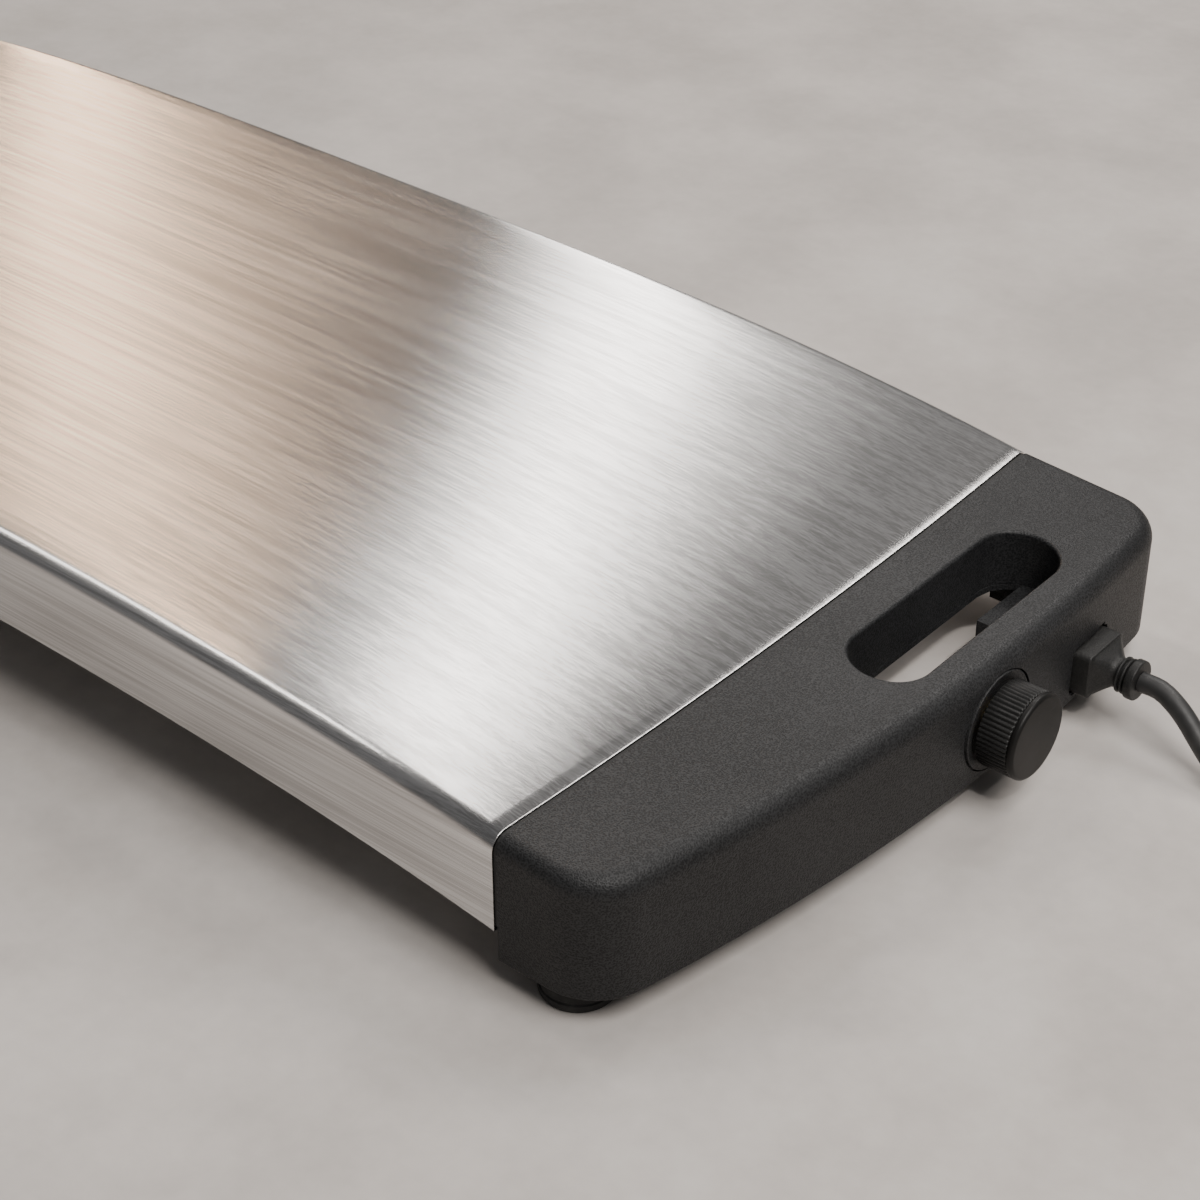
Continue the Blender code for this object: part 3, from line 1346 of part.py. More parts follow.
def coil_line():
    """Centre line of the coil: it spirals in, climbs a layer, and spirals out again."""
    count = round(COIL_TURNS * COIL_POINTS)
    inner = COIL_RADIUS - COIL_PITCH * COIL_TURNS / 4
    points = []
    for index in range(count + 1):
        turn = index / COIL_POINTS - COIL_TURNS / 2
        radius = inner + COIL_PITCH * (math.hypot(turn, COIL_REVERSAL) - COIL_REVERSAL)
        climb = min(max(2 * turn + 0.5, 0), 1)
        z = COIL_LOW + COIL_LAYER_STEP * (3 * climb ** 2 - 2 * climb ** 3)
        lower = min(max(4 * (turn - COIL_TURNS / 2) + 1, 0), 1)
        z += (PLUG_AXIS - COIL_HIGH) * (3 * lower ** 2 - 2 * lower ** 3)
        angle = COIL_START + 2 * math.pi * index / COIL_POINTS
        points.append(Vector((COIL_U + radius * math.cos(angle), COIL_V + radius * math.sin(angle), z)))
    straight = 2 * CORD_RADIUS
    lead_in = (points[0] - points[1]).normalized() * straight
    lead_out = (points[-1] - points[-2])
    lead_out.z = 0
    lead_out = lead_out.normalized() * straight
    return [points[0] + lead_in, *points, points[-1] + lead_out]


def least_gap(line, radius):
    """The least clear distance between turns of a line that is a tube of this radius."""
    fine = []
    for a, b in zip(line, line[1:]):
        fine += [a.lerp(b, share / 4) for share in range(4)]
    lengths = [0.0]
    for a, b in zip(fine, fine[1:]):
        lengths.append(lengths[-1] + (b - a).length)
    nearest = math.inf
    for first in range(len(fine)):
        for second in range(first + 1, len(fine)):
            if lengths[second] - lengths[first] > 8 * radius:
                nearest = min(nearest, (fine[first] - fine[second]).length)
    return nearest - 2 * radius


def make_cord():
    """The free stretch from the connector to the coil, the coil and its tie."""
    coil = coil_line()
    print(f"least gap of the coil to itself: {least_gap(coil, CORD_RADIUS) * 1000:.2f} mm")
    heading = (coil[1] - coil[0]).normalized()
    end = coil[0] - heading * FIT
    approach = end - heading * 2 * CORD_RADIUS
    start = Vector((connector_end() + FIT, INLET_V, INLET_Z))
    straight = start + Vector((2 * CORD_RADIUS, 0, 0))
    run = [start, *smooth_route([straight, *CORD_ROUTE, approach], CORD_STEP), end]
    tube("cord_run", run, CORD_RADIUS, 2, "cord_sheath", (RIGHT_END, 0, 0))
    tube("cord_coil", coil, CORD_RADIUS, 1, "cord_sheath", (RIGHT_END, 0, 0))
    make_cord_tie()


def make_cord_tie():
    """A flat band around the coil's turns."""
    spread = COIL_PITCH * COIL_TURNS / 4
    bend = TIE_WIDTH ** 2 / (8 * (COIL_RADIUS - spread))
    half_width = spread + CORD_RADIUS + bend + TIE_CLEARANCE
    low = TIE_THICKNESS
    high = COIL_HIGH + CORD_RADIUS + TIE_CLEARANCE
    middle = (low + high) / 2
    corner = CORD_RADIUS
    half_height = (high - low) / 2
    wall = TIE_THICKNESS
    inner = rounded_rectangle(half_width, half_height, corner)
    outer = rounded_rectangle(half_width + wall, half_height + wall, corner + wall)
    rings = []
    for outline, y in ((inner, -1), (outer, -1), (outer, 1), (inner, 1)):
        rings.append([(x, y * TIE_WIDTH / 2, middle + z) for x, z in outline])
    solid = loft(rings, cyclic=True)
    along = Vector((math.cos(TIE_ANGLE), math.sin(TIE_ANGLE), 0)) * COIL_RADIUS
    location = (RIGHT_END + COIL_U + along.x, COIL_V + along.y, 0)
    place("cord_tie", solid, "tie_fabric", location, rotation=TIE_ANGLE)


def make_mains_plug():
    """Moulded plug that lies on the table at the coil's end, with its three pins."""
    coil = coil_line()
    heading = (coil[-1] - coil[-2]).normalized()
    start = coil[-1] + heading * FIT
    location = (RIGHT_END + start.x, start.y, start.z)
    turn = math.atan2(heading.y, heading.x)
    half_width = PLUG_BODY_WIDTH / 2
    half_height = PLUG_AXIS
    sections = []
    pitch = PLUG_RELIEF_LENGTH / PLUG_RELIEF_RIBS
    for index in range(PLUG_RELIEF_RIBS):
        wide = PLUG_RELIEF_RADIUS + index * PLUG_RELIEF_GROOVE / 2
        thin = wide - PLUG_RELIEF_GROOVE
        for share, radius in ((0, wide), (0.6, wide), (0.65, thin), (0.95, thin)):
            sections.append(((index + share) * pitch, radius, radius, radius))
    x = PLUG_RELIEF_LENGTH
    sections.append((x, PLUG_BODY_CORNER + PLUG_EDGE, PLUG_BODY_CORNER + PLUG_EDGE, PLUG_BODY_CORNER))
    sections.append((x + PLUG_SHOULDER, half_width, half_height, PLUG_BODY_CORNER))
    face = x + PLUG_BODY_LENGTH
    sections.append((face - PLUG_EDGE, half_width, half_height, PLUG_BODY_CORNER))
    sections.append((face, half_width - PLUG_EDGE, half_height - PLUG_EDGE, PLUG_BODY_CORNER - PLUG_EDGE))
    rings = []
    for place_x, wide, high, corner in sections:
        rings.append([(place_x, y, z) for y, z in rounded_rectangle(wide, high, corner, 4)])
    place("mains_plug", loft(rings), "black_plastic", location, rotation=turn)

    root = face + FIT
    for name, side in (("neutral", -1), ("live", 1)):
        y = side * PLUG_BLADE_SPACING / 2
        low = (root, y - PLUG_BLADE_THICKNESS / 2, PLUG_PIN_OFFSET - PLUG_BLADE_HEIGHT)
        blade = block(low, (root + PLUG_BLADE_LENGTH, y + PLUG_BLADE_THICKNESS / 2, PLUG_PIN_OFFSET))
        place(f"plug_{name}_pin", blade, "brass", location, rotation=turn)
    earth = rod(PLUG_EARTH_RADIUS, root, root + PLUG_EARTH_LENGTH, SCREW_SEGMENTS, "X")
    moved(earth, (0, 0, -PLUG_PIN_OFFSET))
    place("plug_earth_pin", earth, "brass", location, rotation=turn)


# Electronics and wires

def make_board():
    low = (BOARD_U - BOARD_WIDTH / 2, BOARD_V - BOARD_LENGTH / 2, BOARD_Z)
    high = (BOARD_U + BOARD_WIDTH / 2, BOARD_V + BOARD_LENGTH / 2, BOARD_Z + BOARD_THICKNESS)
    place("control_board", block(low, high), "board_green", (RIGHT_END, 0, 0))
    seat = BOARD_Z + BOARD_THICKNESS + FIT
    edge = low[0] + BOARD_POST_INSET
    back = high[1] - BOARD_POST_INSET

    pitch = SINK_WIDTH / (SINK_FINS - 1 + SINK_FIN_SHARE)
    profile = [(0, 0), (SINK_WIDTH, 0)]
    for index in reversed(range(SINK_FINS)):
        start = index * pitch
        end = start + SINK_FIN_SHARE * pitch
        profile += [(end, SINK_HEIGHT), (start, SINK_HEIGHT)]
        if index:
            profile += [(start, SINK_BASE), (start - pitch + SINK_FIN_SHARE * pitch, SINK_BASE)]
    rings = [[(edge + u, v, seat + z) for u, z in profile] for v in (back - SINK_LENGTH, back)]
    place("heat_sink", loft(rings), "aluminium", (RIGHT_END, 0, 0))

    outer = high[0] - BOARD_THICKNESS
    terminal = block((outer - BLOCK_WIDTH, back - BLOCK_LENGTH, seat), (outer, back, seat + BLOCK_HEIGHT))
    pockets = []
    for way in range(BLOCK_WAYS):
        v = back - BLOCK_LENGTH * (way + 0.5) / BLOCK_WAYS
        pocket = rod(SCREW_RADIUS, seat + BLOCK_HEIGHT / 2, seat + BLOCK_HEIGHT + OVERRUN, SCREW_SEGMENTS)
        pockets.append(moved(pocket, (outer - BLOCK_WIDTH / 2, v, 0)))
    place("terminal_block", combine(terminal, ("DIFFERENCE", join(*pockets))), "component", (RIGHT_END, 0, 0))


def make_sensors():
    """The thermal cut-out and the temperature sensor, seated under the spreader."""
    x = HALF_LENGTH - SENSOR_MARGIN
    top = SPREADER_BOTTOM + FIT
    rings = []
    for depth in (top + CUTOFF_HEIGHT, top):
        ring = []
        for side_x, side_y in ((-1, -1), (1, -1), (1, 1), (-1, 1)):
            place_x = x + side_x * CUTOFF_WIDTH / 2
            ring.append((place_x, CUTOFF_V + side_y * CUTOFF_LENGTH / 2, steel_top(place_x) - depth))
        rings.append(ring)
    place("thermal_cutoff", loft(rings), "component", (STEEL_CENTRE, 0, 0))

    slope = abs(steel_top(x + SENSOR_RADIUS) - steel_top(x - SENSOR_RADIUS)) / 2
    bulb = rod(SENSOR_RADIUS, -SENSOR_LENGTH / 2, SENSOR_LENGTH / 2, SCREW_SEGMENTS)
    bmesh.ops.rotate(bulb, matrix=Matrix.Rotation(math.pi / 2, 3, "X"), verts=bulb.verts)
    height = steel_top(x) - top - SENSOR_RADIUS - slope
    place("temperature_sensor", moved(bulb, (x, SENSOR_V, height)), "brass", (STEEL_CENTRE, 0, 0))


def make_wire(name, route, material):
    """A wire whose first and last stretches stay straight, in the right handle's place."""
    line = [route[0], *smooth_route(route[1:-1], WIRE_STEP), route[-1]]
    tube(name, line, WIRE_RADIUS, 0, material, (RIGHT_END, 0, 0))


def make_wires():
    """The wires inside, each along its own lane, in lengths of the wire's radius."""
    r = WIRE_RADIUS
    seat = BOARD_Z + BOARD_THICKNESS + FIT
    block_end = BOARD_V + BOARD_LENGTH / 2 - BOARD_POST_INSET
    block_u = BOARD_U + BOARD_WIDTH / 2 - BOARD_THICKNESS - BLOCK_WIDTH / 2
    block_z = seat + BLOCK_HEIGHT / 2
    bar = (RECESS_WIDE_REACH + RECESS_WALL + PAD_FACE) / 2
    corner = RECESS_FRONT - RECESS_WALL - 2 * r
    bar_end = (RECESS_WIDE_REACH + RECESS_WALL + handle_reach(corner) - HANDLE_WALL) / 2
    space = corner - block_end
    make_mains_wires(r, block_u, block_z, block_end, bar, bar_end, corner)
    make_earth_wire(r)
    make_heater_wires(r, block_u, block_z, block_end - BLOCK_LENGTH - FIT)

    control_v = KNOB_V - CONTROL_RADIUS - FIT
    control_u = (CONTROL_BACK + CONTROL_FRONT) / 2
    make_wire("control_wire", (
        (control_u, control_v, KNOB_Z),
        (control_u, control_v - 4 * r, KNOB_Z),
        (bar, control_v - 12 * r, KNOB_Z),
        (bar_end, corner + 4 * r, KNOB_Z),
        (bar_end, corner, KNOB_Z),
        (block_u, block_end + space / 2, KNOB_Z),
        (BOARD_U, block_end + space / 5, KNOB_Z),
        (BOARD_U, block_end + 2 * r, KNOB_Z - 4 * r),
        (BOARD_U, block_end + 2 * r, seat),
    ), "wire_red")

    sensor_u = -SENSOR_MARGIN
    sensor_z = joint_top(sensor_u) - SPREADER_BOTTOM - 2 * SENSOR_RADIUS
    hole_z = END_HEIGHT - WIRE_HOLE_DEPTH
    edge = BOARD_U - BOARD_WIDTH / 2 + BOARD_POST_INSET / 2
    make_wire("sensor_wire", (
        (sensor_u, SENSOR_V - SENSOR_LENGTH / 2 - FIT, sensor_z),
        (sensor_u, SENSOR_V - SENSOR_LENGTH, sensor_z),
        (-2 * SPIGOT_LENGTH, WIRE_HOLE_V + WIRE_HOLE_WIDTH / 2, hole_z + 4 * r),
        (-SPIGOT_LENGTH - 4 * r, WIRE_HOLE_V, hole_z),
        (0, WIRE_HOLE_V, hole_z),
        (RECESS_STRIP_REACH, WIRE_HOLE_V, hole_z - r),
        (edge, WIRE_HOLE_V, hole_z - 8 * r),
        (edge, WIRE_HOLE_V, seat + 3 * r),
        (edge, WIRE_HOLE_V, seat),
    ), "wire_red")


def make_mains_wires(r, block_u, block_z, block_end, bar, bar_end, corner):
    """Live and neutral: down from the pins, one above the other along the outer bar."""
    tail_u = INLET_BACK - INLET_PIN_TAIL / 2
    under = INLET_Z - INLET_PIN_OFFSET - INLET_PIN_HEIGHT / 2 - FIT
    passage = RECESS_WIDE_BACK + RECESS_WALL + 2.7 * r
    low = BASE_TOP + 2 * r
    space = corner - block_end
    wires = (("neutral", -1, low, "wire_blue"), ("live", 1, low + 3.4 * r, "wire_red"))
    for name, side, lane_z, material in wires:
        lane_u = PIN_END - (2.6 + 1.2 * side) * r
        pin_v = INLET_V + side * INLET_PIN_SPACING
        end_u = block_u + side * 2 * r
        make_wire(f"{name}_wire", (
            (tail_u, pin_v, under),
            (tail_u, pin_v, under - r),
            (lane_u, pin_v - 4 * r, lane_z),
            (lane_u, INLET_V - INLET_PIN_SPACING - 5 * r, lane_z),
            (lane_u + r, passage + 2 * r, lane_z),
            (lane_u + 5 * r, passage, lane_z),
            (bar - 3 * r, passage, lane_z),
            (bar, passage - 4 * r, lane_z),
            (bar, KNOB_V, lane_z),
            (bar_end, corner + 4 * r, lane_z),
            (bar_end, corner, lane_z),
            (end_u + 6 * r, block_end + space / 2, lane_z),
            (end_u, block_end + space / 4, block_z),
            (end_u, block_end + space / 7, block_z),
            (end_u, block_end + FIT, block_z),
        ), material)


def make_earth_wire(r):
    """From the earth pin round the slot's collar to the end plate."""
    tail_u = INLET_BACK - INLET_PIN_TAIL / 2
    above = INLET_Z + INLET_PIN_OFFSET + INLET_PIN_HEIGHT / 2 + FIT
    over = END_HEIGHT - EARTH_HOLE_DEPTH
    collar_end = SLOT_BACK + COLLAR_WALL
    make_wire("earth_wire", (
        (tail_u, INLET_V, above),
        (tail_u, INLET_V, above + 2 * r),
        (tail_u - r, INLET_V + 6 * r, above + 3 * r),
        (tail_u - r, collar_end + 2 * r, above + 3 * r),
        (tail_u - 2 * r, collar_end + 5 * r, above + 12 * r),
        (RECESS_NARROW_REACH, EARTH_HOLE_V, over),
        (2 * RECESS_STRIP_REACH, EARTH_HOLE_V, over),
        (0, EARTH_HOLE_V, over),
        (-SPIGOT_LENGTH / 2, EARTH_HOLE_V, over),
        (-SPIGOT_LENGTH, EARTH_HOLE_V, over),
    ), "wire_earth")


def make_heater_wires(r, block_u, block_z, start_v):
    """From the terminal block through the wire hole to the element's two tails."""
    hole_z = END_HEIGHT - WIRE_HOLE_DEPTH
    tail_v = HALF_DEPTH - ELEMENT_SIDE_MARGIN
    tail_u = -ELEMENT_TAIL_MARGIN + FIT
    tail_z = joint_top(tail_u) - ELEMENT_DEPTH
    inside = -SPIGOT_LENGTH - 10 * r
    lane_z = tail_z - 4 * r
    for name, side in (("front", -1), ("back", 1)):
        start_u = block_u + side * 2 * r
        start_z = block_z + side * 2 * r
        hole_v = WIRE_HOLE_V + side * (WIRE_HOLE_WIDTH / 2 - 3 * r)
        height = hole_z + side * (WIRE_HOLE_HEIGHT / 2 - 2 * r)
        route = [
            (start_u, start_v, start_z),
            (start_u, start_v - 4 * r, start_z),
            (start_u - 6 * r, start_v - (9 - 3 * side) * r, start_z + 8 * r),
            (BOARD_U - 12 * r, hole_v - 3 * r, height),
            (RECESS_STRIP_REACH, hole_v, height),
            (0, hole_v, height),
            (-SPIGOT_LENGTH, hole_v, height),
            (-SPIGOT_LENGTH - 4 * r, hole_v, height),
        ]
        if side < 0:
            route.append((inside, hole_v - 6 * r, height + 3 * r))
            route.append((inside, -tail_v + 8 * r, lane_z))
        else:
            route.append((inside, hole_v + 8 * r, lane_z))
            route.append((inside, 0, lane_z))
            route.append((inside, tail_v - 8 * r, lane_z))
        route.append((tail_u + 6 * r, side * tail_v, tail_z))
        route.append((tail_u + 3 * r, side * tail_v, tail_z))
        route.append((tail_u, side * tail_v, tail_z))
        make_wire(f"{name}_heater_wire", route, "wire_red")


def build():
    for item in list(bpy.data.objects):
        bpy.data.objects.remove(item, do_unlink=True)
    make_top_plate()
    make_base_pan()
    make_heat_spreader()
    make_heating_element()
    make_insulation_pad()
    make_cross_ribs()
    for side, end, mirrored in (("right", RIGHT_END, False), ("left", LEFT_END, True)):
        location = (end, 0, 0)
        controls = not mirrored
        make_seal(f"{side}_seal", location, mirrored)
        make_end_plate(f"{side}_end_plate", location, mirrored, controls)
        make_handle_shell(f"{side}_handle_shell", location, mirrored, controls)
        make_handle_base(f"{side}_handle_base", location, mirrored, controls)
        foot_x = end - FOOT_U if mirrored else end + FOOT_U
        make_foot(f"{side}_front_foot", (foot_x, -FOOT_V, 0))
        make_foot(f"{side}_back_foot", (foot_x, FOOT_V, 0))
    make_screws()
    make_controls()
    make_knob()
    make_inlet()
    make_connector()
    make_cord()
    make_mains_plug()
    make_board()
    make_sensors()
    make_wires()


build()
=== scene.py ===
"""Looks of the electric food warming tray: camera, mains lead, steel, handles, controls and light.

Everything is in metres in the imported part's frame. Pieces of the right end are drawn in
the handle's own place, where u runs outwards from the steel's end, v is Y and z is the
height above the table; the left end is their mirror image.
"""

import math

import bmesh
import bpy
from mathutils import Matrix, Vector, noise


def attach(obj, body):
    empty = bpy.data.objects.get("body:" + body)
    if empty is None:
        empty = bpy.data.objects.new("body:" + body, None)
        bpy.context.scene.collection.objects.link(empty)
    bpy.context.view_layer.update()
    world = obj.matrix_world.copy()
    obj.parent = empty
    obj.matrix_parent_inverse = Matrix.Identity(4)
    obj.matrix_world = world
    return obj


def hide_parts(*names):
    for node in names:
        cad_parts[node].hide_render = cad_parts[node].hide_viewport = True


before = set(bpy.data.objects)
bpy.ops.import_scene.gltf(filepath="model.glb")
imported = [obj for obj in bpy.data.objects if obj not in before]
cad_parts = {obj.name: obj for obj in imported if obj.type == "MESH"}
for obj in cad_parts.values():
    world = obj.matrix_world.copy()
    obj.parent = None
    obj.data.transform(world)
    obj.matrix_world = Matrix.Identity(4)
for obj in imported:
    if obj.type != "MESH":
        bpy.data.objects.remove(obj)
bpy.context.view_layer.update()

# The tray and its steel top
TRAY_DEPTH = 0.320
STEEL_LENGTH = 0.700
END_HEIGHT = 0.0622
ARCH_RISE = 0.0150
ARCH_POWER = 3.2
SKIRT_HEIGHT = 0.0395
SHEET = 0.0008
FOLD_RADIUS = 0.0065
FLANGE_WIDTH = 0.014
EDGE_ROLL = ((0.0004, 0), (0.00022, 0.00003), (0.00009, 0.00010), (0, 0.00022))
JUNCTION_BOW = 0.0037
JOINT_GAP = 0.0016
STEEL_CENTRE = -0.00827
HALF_LENGTH = STEEL_LENGTH / 2
HALF_DEPTH = TRAY_DEPTH / 2
RIGHT_END = STEEL_CENTRE + HALF_LENGTH
LEFT_END = STEEL_CENTRE - HALF_LENGTH
PAN_TOP = SKIRT_HEIGHT - 2 * SHEET - 0.0003
SPIGOT_INSET = 0.0030
SPIGOT_WALL = 0.0022
SPIGOT_LENGTH = 0.012
BATT_TOP = 0.0070
BATT_THICKNESS = 0.012
BATT_SIDE_GAP = 0.0125
BATT_END_GAP = 0.0505
BATT_SOFT_EDGE = 0.006

# The handle moulding
HANDLE_BOTTOM = 0.010
HANDLE_REACH = 0.0543
HANDLE_SWELL = 0.0142
HANDLE_SKEW = 0.0114
HANDLE_FALL = 0.0032
HANDLE_EDGE_RADIUS = 0.0080
HANDLE_BOTTOM_RADIUS = 0.0012
FRONT_CORNER_RADIUS = 0.025
BACK_CORNER_RADIUS = 0.022
HANDLE_WALL = 0.0028
HANDLE_TOP_WALL = 0.0030
BASE_TOP = 0.0125

# The finger slot and the recess below it
SLOT_U = 0.038328
SLOT_V = 0.052
SLOT_WIDTH = 0.0314
SLOT_LENGTH = 0.114
SLOT_LIP = 0.0014
COLLAR_WALL = 0.0022
COLLAR_BOTTOM = 0.0369
RECESS_FRONT = -0.014
RECESS_BACK = 0.15433

# Screw bosses and feet
SCREW_BORE = 0.0021
BOSS_RADIUS = 0.0041
END_SCREW_V = 0.1056
END_SCREW_DROP = 0.021
FOOT_SCREW_DEPTH = 0.013
FOOT_U = 0.0226
FOOT_V = 0.1435
FOOT_RADIUS = 0.0139
FOOT_HEIGHT = 0.0097
FOOT_TREAD_EDGE = 0.0014
FOOT_RECESS_RADIUS = 0.0052
FOOT_RECESS_DEPTH = 0.0045

# Holes for the wires in the handle's inner wall
WIRE_HOLE_START = -0.022
WIRE_HOLE_FRONT = -0.092
WIRE_HOLE_BACK = -0.072
WIRE_HOLE_HALF_HEIGHT = 0.006
WIRE_HOLE_DROP = 0.0212
EARTH_HOLE_RADIUS = 0.0025
EARTH_HOLE_V = 0.118
EARTH_HOLE_DROP = 0.0115

# Knob and bezel ring
KNOB_V = 0.0345
KNOB_Z = 0.032
BEZEL_RADIUS = 0.0198
BEZEL_BORE = 0.0160
BEZEL_GROOVE = 0.0006
BEZEL_FLOOR = 0.068528
BEZEL_FRONT = 0.070528
BEZEL_DISH = 0.0006
BEZEL_PAD_MARGIN = 0.0022
PAD_FACE = 0.066028
BUSHING_BORE = 0.0048
KNOB_BACK = 0.071428
KNOB_FRONT = 0.084428
KNOB_RADIUS = 0.0171
KNOB_RIB_HEIGHT = 0.0006
KNOB_RIBS = 56
KNOB_WALL = 0.0022
KNOB_HUB_RADIUS = 0.0055
SHAFT_BORE = 0.0033
SHAFT_BORE_DEPTH = 0.0093
CAP_SEAT_DEPTH = 0.0015
CAP_BACK = 0.084728
CAP_FRONT = 0.087328
CAP_CHAMFER = 0.0009
CAP_STUB_RADIUS = 0.0060
CAP_STUB_LENGTH = 0.0012

# Inlet opening and the lead's connector
INLET_V = 0.099
INLET_Z = 0.0236
INLET_FACE = 0.064017
INLET_OPENING_WIDTH = 0.0254
INLET_OPENING_HEIGHT = 0.0204
INLET_OPENING_CORNER = 0.0025
INLET_NOTCH_WIDTH = 0.0040
INLET_NOTCH_HEIGHT = 0.0016
INLET_FRAME_MARGIN = 0.0030
INLET_FRAME_ABOVE = 0.0011
NOSE_TIP = 0.049617
NOSE_WIDTH = 0.0222
NOSE_HEIGHT = 0.0142
BLOCK_BACK = 0.064317
BLOCK_FRONT = 0.077117
BLOCK_WIDTH = 0.0238
BLOCK_HEIGHT = 0.0188
CONNECTOR_CORNER = 0.0022
CONNECTOR_CHAMFER = 0.0008
CONNECTOR_SHOULDER = 0.0068
NECK_RADIUS = 0.0058
NECK_RIB_RADIUS = 0.0072
NECK_RIB_LENGTH = 0.0013
NECK_GROOVE_LENGTH = 0.0008
COLLAR_RADIUS = 0.0080
COLLAR_LENGTH = 0.0036
COLLAR_EDGE = 0.0006
CONNECTOR_END = 0.0925
PIN_TIP = 0.060017
PIN_HOLE_DEPTH = 0.0006
PIN_HOLE_HALF_WIDTH = 0.0023
PIN_HOLE_HALF_HEIGHT = 0.0013
PIN_HOLES = ((-0.007, -0.002), (0.007, -0.002), (0, 0.002))

# The mains lead: a free stretch, then a coil of piled turns, then the plug
CORD_RADIUS = 0.0040
CORD_ROUTE = (
    (0.1075, 0.0974, 0.0220),
    (0.1142, 0.0956, 0.0187),
    (0.1222, 0.0927, 0.0136),
    (0.1308, 0.0894, 0.0088),
    (0.1405, 0.0855, 0.0056),
    (0.1530, 0.0803, 0.0043),
    (0.1660, 0.0761, 0.0044),
)
COIL_U = 0.2100
COIL_V = 0.1260
COIL_RADIUS = 0.0476
COIL_PITCH = 0.0088
COIL_LAYER_STEP = 0.0086
COIL_TURNS = 4.5
COIL_POINTS = 24
COIL_START = math.radians(-105)
COIL_REVERSAL = 0.10
COIL_LOW = 0.0053
COIL_HIGH = COIL_LOW + COIL_LAYER_STEP
PLUG_AXIS = 0.0134
TIE_ANGLE = math.radians(-15)
TIE_WIDTH = 0.016
TIE_THICKNESS = 0.0010
TIE_INNER_HALF_WIDTH = 0.01535
TIE_LOW = 0.0010
TIE_HIGH = 0.0185
TIE_CORNER = 0.0040
TIE_EDGE = 0.00025
PLUG_RELIEF_RADIUS = 0.0062
PLUG_RELIEF_GROOVE = 0.0010
PLUG_RELIEF_RIBS = 3
PLUG_RELIEF_LENGTH = 0.022
PLUG_BODY_LENGTH = 0.034
PLUG_BODY_WIDTH = 0.027
PLUG_BODY_CORNER = 0.006
PLUG_SHOULDER = 0.008
PLUG_EDGE = 0.0012
PLUG_GRIP_DEPTH = 0.0007
PLUG_GRIPS = 4

# Steps of the handle's outline, and what every cut and weld uses
CORNER_STEPS = 14
OUTER_STEPS = 30
EDGE_STEPS = 9
BOW_STEPS = 20
HAIRLINE = 0.0003
OVERRUN = 0.005
WELD = 0.000001

# Camera, floor and lamps
CAMERA_TARGET = (0.26553, -0.0143, 0.0459)
CAMERA_AZIMUTH = math.radians(39.92)
CAMERA_ELEVATION = math.radians(34.21)
CAMERA_DISTANCE = 1.002
CAMERA_LENS = 80.0
FLOOR_HALF = 40.0
LIT_POINT = (0.12, 0, 0.07)
WARM_LIGHT = (1.0, 0.69, 0.46)
PLAIN_LIGHT = (1.0, 0.96, 0.925)
# Each softbox: azimuth from +X towards +Y, elevation, distance, width, height, watts, colour
SOFTBOXES = {
    "back_strip": (125.6, 36, 4.0, 0.34, 3.2, 33, PLAIN_LIGHT),
    "back_panel": (113, 40, 4.2, 1.0, 2.4, 1.6, PLAIN_LIGHT),
    "side_strip": (143.8, 28, 4.0, 0.14, 3.0, 17, WARM_LIGHT),
    "key": (-6, 54, 1.7, 1.0, 1.0, 27, PLAIN_LIGHT),
    "rear_panel": (86, 50, 3.0, 0.9, 0.9, 32, PLAIN_LIGHT),
    "left_panel": (176, 56, 3.0, 0.3, 1.2, 16, PLAIN_LIGHT),
}
SLOT_LIGHT_TOWARDS = (0.47, -0.36, 0.80)
SLOT_LIGHT_DISTANCE = 1.4
SLOT_LIGHT_WATTS = 60
SLOT_LIGHT_CONE = math.radians(5)
ROOM_COLOR = (0.98, 0.98, 1.0, 1)
ROOM_STRENGTH = 0.15


def put(name, data):
    """Add an object to the scene."""
    made = bpy.data.objects.new(name, data)
    bpy.context.scene.collection.objects.link(made)
    return made


def smooth_step(share):
    return 3 * share ** 2 - 2 * share ** 3


def quarter_turn(steps):
    """What is left of a radius beside and below each point of a rounded edge."""
    for index in range(steps + 1):
        angle = math.pi / 2 * index / steps
        yield 1 - math.cos(angle), 1 - math.sin(angle)


# Camera

def make_camera():
    camera = bpy.data.cameras.new("camera")
    camera.lens = CAMERA_LENS
    camera.sensor_width = 36.0
    camera.clip_start = 0.01
    camera.clip_end = 200.0
    seen = put("camera", camera)
    back = Vector((
        math.sin(CAMERA_AZIMUTH) * math.cos(CAMERA_ELEVATION),
        -math.cos(CAMERA_AZIMUTH) * math.cos(CAMERA_ELEVATION),
        math.sin(CAMERA_ELEVATION),
    ))
    seen.location = Vector(CAMERA_TARGET) + back * CAMERA_DISTANCE
    seen.rotation_mode = "QUATERNION"
    seen.rotation_quaternion = (-back).to_track_quat("-Z", "Y")
    bpy.context.scene.camera = seen


# Finishes: each is a material whose colour, gloss and relief come from its own nodes

class Value:
    """A socket in a finish's sums; a sum on values adds its Math node."""

    def __init__(self, finish, socket):
        self.finish = finish
        self.socket = socket

    def reckon(self, operation, *terms):
        return self.finish.node("ShaderNodeMath", {"operation": operation}, dict(enumerate(terms)))

    def __add__(self, other):
        return self.reckon("ADD", self, other)

    def __radd__(self, other):
        return self.reckon("ADD", other, self)

    def __sub__(self, other):
        return self.reckon("SUBTRACT", self, other)

    def __rsub__(self, other):
        return self.reckon("SUBTRACT", other, self)

    def __mul__(self, other):
        return self.reckon("MULTIPLY", self, other)

    def __rmul__(self, other):
        return self.reckon("MULTIPLY", other, self)

    def between(self, low, high):
        """Zero below low, one above high, and a smooth step from one to the other."""
        limits = {"Value": self, "From Min": low, "From Max": high}
        return self.finish.node("ShaderNodeMapRange", {"interpolation_type": "SMOOTHSTEP"}, limits)


